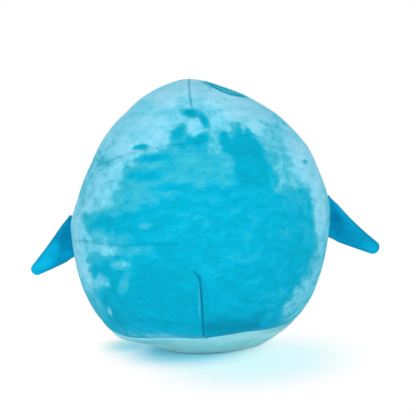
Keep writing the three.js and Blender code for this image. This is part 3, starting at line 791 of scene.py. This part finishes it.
def fold_shade_of(points, normals):
    """How much painted shade a point gets at a fold's bottom, 0 to 1."""
    places = pixels_of(points)
    seen = smooth(*FOLD_RANGE, facing_camera(points, normals))
    painted_shade = fold_painted_shade(points[:, :2] / MM, CROWN_FOLD) * facing_up(normals)
    for fold in FOLDS:
        painted_shade = np.maximum(painted_shade, fold_painted_shade(places, fold) * seen)
    return painted_shade


def paint(piece, name, value_of):
    """Writes a value for each vertex of a piece, for its material."""
    mesh = piece.data
    points = np.zeros(len(mesh.vertices) * 3)
    normals = np.zeros(len(points))
    mesh.vertices.foreach_get("co", points)
    mesh.vertices.foreach_get("normal", normals)
    values = value_of(points.reshape(-1, 3), normals.reshape(-1, 3))
    layer = mesh.attributes.new(name, "FLOAT", "POINT")
    layer.data.foreach_set("value", np.asarray(values, np.float32))


# Blue pile that hangs over the belly's pale fabric along its seams, with painted shade under the
# seams' rolls
OVERHANG_AND_SHADE_WIDTH = 5.5 * MM
OVERHANG_AND_SHADE_SHARE = 0.8


def belly_overhang_and_shade_of(points, normals):
    overhang_and_shade = OVERHANG_AND_SHADE_SHARE * bell(seam_distance(points) / OVERHANG_AND_SHADE_WIDTH)
    return np.maximum(fold_shade_of(points, normals), overhang_and_shade)


# Each skin gets its field of pile and painted light, and in "fold" the painted shade of its folds.
for skin, skin_shade_of in ((back_skin, fold_shade_of), (face_skin, fold_shade_of), (belly_skin, belly_overhang_and_shade_of)):
    paint(skin, "nap_and_painted_light", nap_and_painted_light_of)
    paint(skin, "fold", skin_shade_of)


# Fins


def seam_turn(height):
    """The main seam's turn from the crown at a height."""
    rise = height - WIDEST_HEIGHT
    power, reach = (CROWN_POWER, CROWN_REACH) if rise > 0 else (BASE_POWER, BASE_REACH)
    side = BODY_HALF_WIDTH * (1 - (abs(rise) / reach) ** power) ** (1 / power)
    return math.atan2(side, rise)


def hinge_of(sign):
    """A fin root's middle, its ways out, across and up, and its length."""
    top_turn = seam_turn(FIN_ROOT_HEIGHT + FIN_ROOT_LENGTH / 2)
    bottom_turn = seam_turn(FIN_ROOT_HEIGHT - FIN_ROOT_LENGTH / 2)
    turns = np.array([top_turn, bottom_turn, (top_turn + bottom_turn) / 2]) * sign
    points, normals = surface(seam_ray(turns))
    up = unit(points[0] - points[1])
    out = unit(normals[2] - up * (normals[2] @ up))
    side = np.cross(up, out)
    return points[2], out, side, up, np.linalg.norm(points[0] - points[1])


def fin_outline(side, root_length):
    """Points round a fin in its plane, and its middle."""
    reach, drop, top_in, end_out, radius, upper_bulge, lower_bulge = np.array(FIN_SIZES[side]) * MM
    top = np.array([-FIN_ROOT_SINK, root_length / 2 - top_in])
    bottom = np.array([-FIN_ROOT_SINK, -end_out - root_length / 2])
    tip = np.array([reach - radius, radius - drop])

    def edge(start, end, bulge, count):
        along = unit(end - start)
        control = (start + end) / 2 + np.array([-along[1], along[0]]) * 2 * bulge
        share = np.linspace(0, 1, count)[:, None]
        return (1 - share) ** 2 * start + 2 * share * (1 - share) * control + share**2 * end

    upper_turn = math.atan2(tip[1] - top[1], tip[0] - top[0]) + math.pi / 2
    lower_turn = math.atan2(bottom[1] - tip[1], bottom[0] - tip[0]) + math.pi / 2
    if lower_turn > upper_turn:
        lower_turn -= 2 * math.pi
    turns = np.linspace(upper_turn, lower_turn, num=15)
    tip_arc = tip + radius * np.stack([np.cos(turns), np.sin(turns)], -1)
    upper = edge(top, tip_arc[0], upper_bulge, count=40)
    lower = edge(tip_arc[-1], bottom, lower_bulge, count=34)
    inner_bottom = bottom + np.array([-FIN_TAB_LENGTH, end_out + FIN_TAB_TAPER])
    inner_top = top + np.array([-FIN_TAB_LENGTH, -FIN_TAB_TAPER])
    low_side = np.linspace(bottom, inner_bottom, num=8)[1:]
    root = np.linspace(inner_bottom, inner_top, num=26)[1:]
    high_side = np.linspace(inner_top, top, num=8)[1:-1]
    middle = np.array([reach, drop]) * FIN_MIDDLE_SHARES
    return np.concatenate([upper, tip_arc[1:-1], lower, low_side, root, high_side]), middle


def fin_half(flat, share):
    """Half the fin's thickness at places in its plane, thin at the seams and in the slot."""
    fullness = np.clip(1 - share**FIN_ROUNDING, 0, 1) ** FIN_FULLNESS
    swell = (FIN_HALF_THICKNESS - FIN_RIM) * fullness
    rooted = smooth(*FIN_SWELL_RANGE, flat[:, 0])
    return FIN_RIM_HALF + swell * (FIN_ROOT_SHARE + (1 - FIN_ROOT_SHARE) * rooted)


def fin_pieces(side, sign):
    """A fin's two faces and filling, its edge thread's path, and its hinge's place and way out."""
    origin, out, across, up, root_length = hinge_of(sign)
    outline, middle = fin_outline(side, root_length)
    middle_half = fin_half(middle[None], 0.0)
    along = unit(np.roll(outline, -1, axis=0) - np.roll(outline, 1, axis=0))
    outward = np.stack([-along[:, 1], along[:, 0]], -1)
    if np.sum(outward * (outline - middle)) < 0:
        outward = -outward
    length = lengths_along(outline)

    def placed(flat, height):
        return origin + flat[:, :1] * out + flat[:, 1:] * up + height[:, None] * across

    def ring(share, facing, inner=0.0):
        """A ring of a face, puckered by the stitches near its edge."""
        flat = middle + (outline - middle) * share
        pucker = np.sin(length / FIN_PUCKER_WAVE) * bell((1 - share) / FIN_PUCKER_WIDTH)
        pucker *= FIN_PUCKER_SHARE * (flat[:, 0] > FIN_PUCKER_START)
        height = (fin_half(flat, share) - inner) * (1 + pucker)
        return placed(flat, facing * np.maximum(height, FIN_LEAST_HALF))

    def rim_ring(beyond, height):
        return placed(outline + outward * beyond, np.full(len(outline), height))

    def skin(name, facing):
        rings = [ring(share, facing) for share in FIN_SHARES]
        rooted = smooth(*FIN_RIM_RANGE, outline[:, :1])
        for turn in FIN_RIM_TURNS:
            height = FIN_RIM_HALF * math.cos(turn) + FIN_RIM_GAP
            rings.append(rim_ring(FIN_RIM * math.sin(turn) * rooted, facing * height))
        rings.append(rim_ring(-FIN_TURN_IN, facing * FIN_RIM_GAP))
        rings += [ring(share, facing, inner=FIN_FABRIC) for share in FIN_SHARES[::-2]]
        first = placed(middle[None], facing * middle_half)[0]
        last = placed(middle[None], facing * (middle_half - FIN_FABRIC))[0]
        return ringed_piece(name, first, rings, last)

    back_facing = 1 if across[1] > 0 else -1
    back_piece = skin(f"{side}_fin_back_skin", back_facing)
    front_piece = skin(f"{side}_fin_front_skin", -back_facing)

    def stuffing_ring(share, facing):
        flat = middle + (outline - middle) * share
        half = fin_half(flat, share) - FIN_FABRIC - FIN_FILLING_GAP
        flat[:, 0] = np.maximum(flat[:, 0], FIN_FILLING_START)
        return placed(flat, facing * np.maximum(half, FIN_FILLING_LEAST))

    rings = [stuffing_ring(share, 1) for share in FIN_FILLING_SHARES]
    rings += [stuffing_ring(share, -1) for share in FIN_FILLING_SHARES[::-1]]
    half = middle_half - FIN_FABRIC - FIN_FILLING_GAP
    first, last = placed(middle[None], half)[0], placed(middle[None], -half)[0]
    stuffing = ringed_piece(f"{side}_fin_stuffing", first, rings, last)
    sewn = outline[outline[:, 0] > FIN_THREAD_START]
    sewn = middle + (sewn - middle) * FIN_THREAD_SHARE
    return back_piece, front_piece, stuffing, placed(sewn, np.zeros(len(sewn))), origin, out


# Threads


def thread_piece(name, path, radius=THREAD_RADIUS, sides=8):
    """A round thread through the points of a path."""
    ahead = unit(np.gradient(path, axis=0))
    first = unit(np.cross(ahead, THREAD_SLANT))
    second = np.cross(ahead, first)
    cosines, sines = np.cos(around(sides))[:, None], np.sin(around(sides))[:, None]
    rings = [place + radius * (cosines * a + sines * b) for place, a, b in zip(path, first, second)]
    start, end = path[0] - ahead[0] * radius / 2, path[-1] + ahead[-1] * radius / 2
    return ringed_piece(name, start, rings, end)


def seam_path(rays, zigzag=0.0):
    points = skin_at(rays, STITCH_DEPTH - ROLL_DEPTH)
    points[:, 1] += zigzag * np.sin(lengths_along(points) / ZIGZAG_STEP * math.pi)
    return points


closing_half_turn = CLOSING_LENGTH / 2 / WIDEST_HEIGHT
closing_start = math.pi - closing_half_turn
main_turns = np.linspace(-closing_start, closing_start, num=400)
closing_turns = math.pi + closing_half_turn * CLOSING_SHARE * np.linspace(-1, 1, num=120)
belly_sides = CORNER_SIDE * BELLY_THREAD_SHARE * np.linspace(-1, 1, num=220)
closing_path = seam_path(seam_ray(closing_turns), ZIGZAG)
main_thread = thread_piece("main_seam_stitches", seam_path(seam_ray(main_turns)))
belly_thread = thread_piece("belly_seam_stitches", seam_path(belly_ray(belly_sides)))
closing_thread = thread_piece("closing_stitches", closing_path, CLOSING_THREAD_RADIUS)


def dart_path(line, count):
    """Places of a fold's bottom on the skin, where the camera's rays meet it."""
    line = np.array(line, float)
    lengths = lengths_along(line)
    places = points_along(np.linspace(*DART_THREAD_SHARES, count) * lengths[-1], lengths, line)
    mesh = back_skin.data
    tree = BVHTree.FromPolygons([v.co for v in mesh.vertices], [tuple(p.vertices) for p in mesh.polygons])
    hits = [tree.ray_cast(Vector(CAMERA_PLACE), Vector(ray))[:2] for ray in camera_rays(places)]
    return np.array([hit - normal * DART_THREAD_DEPTH for hit, normal in hits if hit is not None])


crown_dart_thread = thread_piece("crown_dart_stitches", dart_path(CROWN_DART_LINE, count=24))
base_dart_thread = thread_piece("base_dart_stitches", dart_path(BASE_DART_LINE, count=60))


# Filling of the body


def body_stuffing():
    turns = around(count=96)
    rings = []
    for tilt in np.linspace(0, math.pi, num=50)[1:-1]:
        level, middle = math.sin(tilt), np.full(len(turns), math.cos(tilt))
        rays = np.stack([level * np.sin(turns), middle, level * np.cos(turns)], -1)
        near = bell(seam_distance(surface(rays)[0]) / FILLING_SEAM_WIDTH)
        rings.append(skin_at(rays, FILLING_DEPTH + near * FILLING_SEAM_DEPTH))
    first, last = (skin_at(pole[None], FILLING_DEPTH)[0] for pole in (BACK, -BACK))
    return ringed_piece("body_stuffing", first, rings, last)


stuffing = body_stuffing()


# Embroidery of the face


def stitch_wave(places):
    return np.cos(places / STITCH_ROW * 2 * math.pi)


def eye_pad(name, side):
    """A raised oval, its satin stitches lying across it."""
    middle = front_ray(side, EYE_RISE)[None]
    point, normal = surface(middle)
    across = unit(np.cross((0, 0, 1), normal))
    up = np.cross(normal, across)
    turns = around(count=110)

    def ring(share, lift):
        height = share * EYE_HEIGHT / 2 * np.sin(turns)
        ridge = stitch_wave(height)
        wide = share * EYE_WIDTH / 2 * np.cos(turns) * (1 + EYE_STITCH_SPREAD * ridge)
        place = point + across * wide[:, None] + up * height[:, None]
        lifted = lift + (STITCH_RELIEF * ridge if lift > 0 else 0)
        return skin_at(unit(place - CENTRE), -np.broadcast_to(lifted, len(turns)))

    shares = 1 - (1 - np.linspace(LEAST_SHARE, 1, num=48)) ** EYE_CROWDING
    rings = [ring(share, PAD_HEIGHT * math.sqrt(max(1 - share**EYE_FLATNESS, 0))) for share in shares]
    rings += [ring(share, -PAD_SINK) for share in EYE_UNDERSIDE]
    top = skin_at(middle, -PAD_HEIGHT - STITCH_RELIEF)[0]
    return ringed_piece(name, top, rings, skin_at(middle, PAD_SINK)[0])


def mouth_band(name):
    """A sagging line, its satin stitches lying across it."""
    shares = np.linspace(-1, 1, num=300)
    middle = surface(front_ray(0, -MOUTH_DROP)[None])[0]
    places = middle + np.stack([MOUTH_WIDTH / 2 * shares, 0 * shares, MOUTH_SAG * shares**2], -1)
    points, normals = surface(unit(places - CENTRE))
    along = unit(np.gradient(points, axis=0))
    across = unit(np.cross(normals, along))
    length = lengths_along(points)
    to_end = np.minimum(length, length[-1] - length)
    rounded = np.sqrt(1 - (1 - np.clip(to_end / (MOUTH_LINE / 2), LEAST_SHARE, 1)) ** 2)
    ridge = stitch_wave(length)
    turns = np.linspace(0, math.pi, num=10)
    rings = []
    for k in range(len(shares)):
        wide = MOUTH_LINE / 2 * rounded[k] * (1 + MOUTH_STITCH_SPREAD * ridge[k])
        high = (PAD_HEIGHT * MOUTH_HEIGHT_SHARE + STITCH_RELIEF * ridge[k]) * rounded[k]
        section = [(wide * math.cos(turn), high * math.sin(turn) ** MOUTH_FLATNESS) for turn in turns]
        section += [(side * wide * MOUTH_UNDERSIDE, -PAD_SINK) for side in (-1, 1)]
        rings.append(np.array([points[k] + across[k] * x + normals[k] * z for x, z in section]))
    return ringed_piece(name, rings[0].mean(axis=0), rings, rings[-1].mean(axis=0))


left_eye = eye_pad("left_eye_stitches", EYE_SIDE)
right_eye = eye_pad("right_eye_stitches", -EYE_SIDE)
mouth = mouth_band("mouth_stitches")


# Materials


def colour(red, green, blue):
    """A linear colour from a screen's values, 0 to 255."""

    def linear(value):
        value /= 255
        return value / 12.92 if value <= 0.04045 else ((value + 0.055) / 1.055) ** 2.4

    return (linear(red), linear(green), linear(blue), 1)


class Nodes:
    """The nodes of a material or a world, each made and joined in one call."""

    def __init__(self, owner, output="OutputMaterial"):
        owner.use_nodes = True
        self.owner = owner
        self.tree = owner.node_tree
        self.tree.nodes.clear()
        self.output = self.add(output)

    def add(self, kind, inputs=None, **settings):
        node = self.tree.nodes.new("ShaderNode" + kind)
        for key, value in settings.items():
            setattr(node, key, value)
        for key, value in (inputs or {}).items():
            if isinstance(value, bpy.types.NodeSocket):
                self.tree.links.new(value, node.inputs[key])
            else:
                node.inputs[key].default_value = value
        return node

    def place(self):
        return self.add("TexCoord").outputs["Object"]

    def field(self, name):
        return self.add("Attribute", attribute_name=name).outputs["Fac"]

    def vector_math(self, operation, *values):
        return self.add("VectorMath", dict(enumerate(values)), operation=operation).outputs

    def math(self, operation, *values):
        return self.add("Math", dict(enumerate(values)), operation=operation).outputs[0]

    def noise(self, place, scale, detail, distortion=0.0):
        inputs = {"Vector": place, "Scale": scale, "Detail": detail, "Distortion": distortion}
        return self.add("TexNoise", inputs).outputs["Fac"]

    def waves(self, direction, scale, distortion, detail):
        inputs = {"Vector": self.place(), "Scale": scale, "Distortion": distortion, "Detail": detail}
        return self.add("TexWave", inputs, bands_direction=direction).outputs["Fac"]

    def stretched(self, place, scales):
        return self.add("Mapping", {"Vector": place, "Scale": scales}).outputs[0]

    def ranged(self, value, given, wanted, kind="LINEAR"):
        inputs = {"Value": value, "From Min": given[0], "From Max": given[1]}
        inputs.update({"To Min": wanted[0], "To Max": wanted[1]})
        return self.add("MapRange", inputs, interpolation_type=kind).outputs[0]

    def ramp(self, factor, stops):
        node = self.add("ValToRGB", {"Fac": factor})
        elements = node.color_ramp.elements
        elements[0].position, elements[1].position = stops[0][0], stops[-1][0]
        elements[0].color, elements[1].color = colour(*stops[0][1]), colour(*stops[-1][1])
        for position, tone in stops[1:-1]:
            elements.new(position).color = colour(*tone)
        return node.outputs["Color"]

    def bump(self, height, distance, strength, normal=None):
        inputs = {"Height": height, "Distance": distance, "Strength": strength}
        if normal is not None:
            inputs["Normal"] = normal
        return self.add("Bump", inputs).outputs["Normal"]

    def seen(self):
        """1 for rays from the camera, also by way of gloss or glass, and 0 for others."""
        path = self.add("LightPath").outputs
        seen = path["Is Camera Ray"]
        for kind in ("Is Glossy Ray", "Is Transmission Ray"):
            seen = self.math("MAXIMUM", seen, path[kind])
        return seen

    def mixed(self, share, first, second):
        return self.add("MixShader", {0: share, 1: first.outputs[0], 2: second.outputs[0]})

    def principled(self, base, rough, normal, others):
        inputs = {"Base Color": base, "Roughness": rough, "Normal": normal, **others}
        return self.finish(self.add("BsdfPrincipled", inputs))

    def finish(self, shader):
        self.tree.links.new(shader.outputs[0], self.output.inputs["Surface"])
        return self.owner


def new_material(name):
    return Nodes(bpy.data.materials.new(name))


# How far the pile lies brushed up where each of a plush's tones lies, from deep to pale
NAP_LEVELS = (0.0, 0.2, 0.5, 0.72, 0.95)
# Patterns of the pile: stretch, scale, detail and distortion of the noise, and its share
PILE = {
    "patches": ((1, 1, 1), 42, 3, 0.8, 0.4),
    "streaks": ((0.5, 0.7, 1.2), 120, 4, 0.5, 0.44),
    "ragged": ((1, 1, 1), 330, 3, 0.3, 0.24),
    "strands": ((1, 1, 0.3), 900, 2, 0, 0.16),
}


def plush(name, tones, shade_tone=None, contrast=1.0, sheen=0.3, tint=(0.6, 0.9, 1.0, 1)):
    """Short pile: patches brushed up and pale with painted light and shade among them, painted shade
    in folds, strands that fall down the body, a soft sheen.
    """
    nodes = new_material(name)
    place = nodes.place()
    field = nodes.field("nap_and_painted_light")
    patterns = {}
    for key, (stretch, scale, detail, distortion, share) in PILE.items():
        patterns[key] = nodes.noise(nodes.stretched(place, stretch), scale, detail, distortion)
        part = nodes.math("MULTIPLY", nodes.math("SUBTRACT", patterns[key], 0.5), share * contrast)
        field = nodes.math("ADD", field, part)
    tone = nodes.ramp(field, list(zip(NAP_LEVELS, tones)))
    uneven = nodes.ranged(patterns["streaks"], (0.3, 0.7), (0.94, 1.04))
    tone = nodes.vector_math("MULTIPLY", tone, uneven)[0]
    # Painted shade in folds: the tone darkens towards the shade tone where "fold" says.
    if shade_tone:
        inputs = {"Factor": nodes.field("fold"), "A": tone, "B": colour(*shade_tone)}
        tone = nodes.add("Mix", inputs, data_type="RGBA").outputs["Result"]
    grain = nodes.math("MULTIPLY", nodes.noise(place, scale=1500, detail=2), 0.5)
    height = nodes.math("ADD", grain, nodes.math("MULTIPLY", patterns["strands"], 0.6))
    normal = nodes.bump(height, distance=0.6 * MM, strength=0.45)
    normal = nodes.bump(field, 1.2 * MM, 0.3, normal)
    rough = nodes.ranged(field, (0, 1), (0.8, 0.95))
    pile = {"Sheen Weight": sheen, "Sheen Roughness": 0.3, "Sheen Tint": tint, "Specular IOR Level": 0.05}
    return nodes.principled(tone, rough, normal, pile)


def thread(name, tone, light):
    """Twisted polyester thread: fine slanting strands with a slight gloss."""
    nodes = new_material(name)
    strands = nodes.waves("DIAGONAL", scale=420, distortion=1.2, detail=2)
    tones = nodes.ramp(strands, [(0.2, tone), (0.9, light)])
    return nodes.principled(tones, 0.55, nodes.bump(strands, 0.25 * MM, 0.6), {"Specular IOR Level": 0.3})


def satin(name, tone, light):
    """Embroidered satin stitches: close parallel threads with small gaps."""
    nodes = new_material(name)
    rows = nodes.waves("Z", scale=340, distortion=0.6, detail=1)
    worn = nodes.math("MULTIPLY", nodes.noise(nodes.place(), scale=260, detail=3), 0.3)
    field = nodes.math("ADD", nodes.math("MULTIPLY", rows, 0.7), worn)
    tones = nodes.ramp(field, [(0.25, tone), (0.9, light)])
    return nodes.principled(tones, 0.42, nodes.bump(rows, 0.3 * MM, 0.7), {"Specular IOR Level": 0.45})


def fibre(name, tone, light):
    """Polyester filling: white tangled strands."""
    nodes = new_material(name)
    tangle = nodes.noise(nodes.place(), scale=260, detail=6, distortion=2.5)
    tones = nodes.ramp(tangle, [(0.3, tone), (0.75, light)])
    return nodes.principled(tones, 0.95, nodes.bump(tangle, 1.5 * MM, 0.7), {"Sheen Weight": 0.2})


body_plush = plush(
    "body_plush",
    [(0, 161, 190), (0, 171, 204), (58, 180, 203), (114, 206, 230), (152, 216, 237)],
    shade_tone=(0, 118, 146),
    sheen=0.28,
    tint=(0.3, 0.88, 1.0, 1),
)
belly_plush = plush(
    "belly_plush",
    [(160, 224, 222), (174, 235, 235), (190, 243, 244), (202, 246, 248), (212, 248, 250)],
    # On the belly this tone is both the blue pile over its seams and painted shade.
    shade_tone=(100, 186, 205),
    contrast=0.8,
    tint=(0.85, 0.97, 1.0, 1),
)
fin_plush = plush(
    "fin_plush",
    [(0, 128, 170), (0, 140, 182), (0, 154, 196), (2, 168, 208), (10, 180, 218)],
    contrast=0.7,
    sheen=0.12,
)
blue_thread = thread("blue_thread", (8, 96, 120), (20, 130, 160))
dark_thread = satin("dark_embroidery", (8, 10, 14), (34, 38, 46))
white_fibre = fibre("white_fibre", (205, 208, 208), (246, 246, 242))


# Pieces on their bodies


def dress(piece, material):
    piece.data.materials.clear()
    piece.data.materials.append(material)


def settle(piece, material, node):
    """A piece of the body, in place of one of the frame's nodes."""
    dress(piece, material)
    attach(piece, "body")
    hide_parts(node)


for piece, material, node, slot in (
    (back_skin, body_plush, "back_panel", "body_plush"),
    (face_skin, body_plush, "face_panel", "body_plush"),
    (belly_skin, belly_plush, "belly_panel", "belly_plush"),
    (stuffing, white_fibre, "body_filling", "filling"),
):
    settle(piece, material, node)

for piece, node in (
    (main_thread, "main_seam_thread"),
    (belly_thread, "belly_seam_thread"),
    (closing_thread, "closing_thread"),
    (crown_dart_thread, "crown_dart_thread"),
    (base_dart_thread, "base_dart_thread"),
):
    settle(piece, blue_thread, node)

for side, sign in (("left", 1), ("right", -1)):
    back_fin, front_fin, fin_stuffing, path, origin, out = fin_pieces(side, sign)
    edge_thread = thread_piece(f"{side}_fin_edge_stitches", path, FIN_THREAD_RADIUS, sides=6)
    for piece, material, nodes, slot in (
        (back_fin, fin_plush, [f"{side}_fin_back_panel", f"{side}_fin_root_tab"], "fin_plush"),
        (front_fin, fin_plush, [f"{side}_fin_front_panel"], "fin_plush"),
        (fin_stuffing, white_fibre, [f"{side}_fin_filling"], "filling"),
        (edge_thread, blue_thread, [f"{side}_fin_edge_thread"], "seam_thread"),
    ):
        dress(piece, material)
        if material == fin_plush:
            paint(piece, "nap_and_painted_light", fin_nap_of)
        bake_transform(piece)
        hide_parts(*nodes)

for piece, node in ((left_eye, "left_eye"), (right_eye, "right_eye"), (mouth, "mouth_line")):
    settle(piece, dark_thread, node)


# Floor, light and background

FLOOR_REACHES = (0.3, 0.6, 1.2, 4, 60)
FLOOR_SIDES = 64
# The painted shadow round the toy's foot, its longer tail, and the wide faint painted shadow to
# the side: each one's middle, how much narrower it is each way, and its tones by distance in metres
SHADOW_MIDDLE = (20 * MM, -5 * MM, 0)
SHADOW_NARROWING = (1.15, 1, 1)
SHADOW_TAIL = (90 * MM, -42 * MM, 0)
SHADOW_TAIL_NARROWING = (2.2, 1.6, 1)
SHADOW_TAIL_PALER = 22 * MM
SHADOW_JOIN = 45 * MM
SHADOW_EDGES = (40 * MM, 118 * MM)
SHADOW_TONES = [(0.08, (160, 232, 248)), (0.13, (215, 248, 254)), (0.18, (255, 255, 255))]
SIDE_SHADOW_MIDDLE = (-45 * MM, 75 * MM, 0)
SIDE_SHADOW_NARROWING = (1.2, 1, 1)
SIDE_SHADOW_TONES = [
    (0.03, (212, 250, 253)),
    (0.075, (223, 249, 252)),
    (0.12, (247, 253, 254)),
    (0.15, (255, 255, 255)),
]
SKY = {"Color": (0.93, 0.97, 1.0, 1), "Strength": 0.52}
WHITE = {"Color": (1, 1, 1, 1), "Strength": 1.0}
# Lamps: place, what they point at, size and power
LAMPS = {
    "key": ((-0.5, 1.9, 0.5), (0, 0, 0.12), 1.3, 19),
    "fill": ((1.3, 1.2, 0.3), (0, 0, 0.1), 1.2, 9),
    "top": ((-0.5, 0.3, 2.0), (0, 0, 0.2), 1.2, 5),
    "front": ((0.5, -1.9, 0.7), (0, 0, 0.12), 1.3, 16),
}


def floor_mesh():
    """A wide disk of rings of faces."""
    points = [(0, 0, 0)]
    for reach in FLOOR_REACHES:
        points += [(reach * math.cos(turn), reach * math.sin(turn), 0) for turn in around(FLOOR_SIDES)]
    pairs = [(k, (k + 1) % FLOOR_SIDES) for k in range(FLOOR_SIDES)]
    faces = [(0, 1 + k, 1 + after) for k, after in pairs]
    for ring in range(len(FLOOR_REACHES) - 1):
        a = 1 + ring * FLOOR_SIDES
        b = a + FLOOR_SIDES
        faces += [(a + k, b + k, b + after, a + after) for k, after in pairs]
    mesh = bpy.data.meshes.new("floor")
    mesh.from_pydata(points, [], faces)
    return mesh


def floor_white_painted_shadow():
    """Lit in the painted shadow, and beyond it glowing as white as the photograph's floor, or with a faint
    painted shadow.
    """
    nodes = new_material("floor_white_painted_shadow")
    place = nodes.place()

    def reach_from(middle, narrowing):
        about = nodes.vector_math("SUBTRACT", place, middle)[0]
        return nodes.vector_math("LENGTH", nodes.vector_math("MULTIPLY", about, narrowing)[0])["Value"]

    reach = reach_from(SHADOW_MIDDLE, SHADOW_NARROWING)
    tail = nodes.math("ADD", reach_from(SHADOW_TAIL, SHADOW_TAIL_NARROWING), SHADOW_TAIL_PALER)
    shadow_reach = nodes.math("SMOOTH_MIN", reach, tail, SHADOW_JOIN)
    uneven = nodes.math("MULTIPLY", nodes.noise(place, scale=6, detail=2), 0.06)
    # Painted cyan shadow tones, darkest by the toy's foot.
    tone = nodes.ramp(nodes.math("ADD", reach, uneven), SHADOW_TONES)
    lit = nodes.add("BsdfDiffuse", {"Color": tone, "Roughness": 0.6})
    # The faint painted shadow to the side, on the glowing floor.
    side_shadow_tone = nodes.ramp(reach_from(SIDE_SHADOW_MIDDLE, SIDE_SHADOW_NARROWING), SIDE_SHADOW_TONES)
    glow_and_side_shadow = nodes.add("Emission", {"Color": side_shadow_tone, "Strength": 1.0})
    far = nodes.ranged(shadow_reach, SHADOW_EDGES, (0, 1), "SMOOTHSTEP")
    return nodes.finish(nodes.mixed(nodes.math("MULTIPLY", nodes.seen(), far), lit, glow_and_side_shadow))


def make_world():
    """A soft sky that lights the toy, and a white one that is seen."""
    world = bpy.data.worlds.new("studio")
    nodes = Nodes(world, "OutputWorld")
    sky, white = nodes.add("Background", SKY), nodes.add("Background", WHITE)
    nodes.finish(nodes.mixed(nodes.seen(), sky, white))
    bpy.context.scene.world = world


def make_lamp(name, place, target, size, power):
    data = bpy.data.lights.new(name, "AREA")
    data.shape = "DISK"
    data.size = size
    data.energy = power
    lamp = linked(name, data)
    lamp.location = place
    lamp.rotation_euler = (Vector(target) - Vector(place)).to_track_quat("-Z", "Y").to_euler()


floor = linked("floor", floor_mesh())
floor.data.materials.append(floor_white_painted_shadow())
make_world()
for name, lamp in LAMPS.items():
    make_lamp(name, *lamp)
bpy.context.scene.view_settings.view_transform = "Standard"
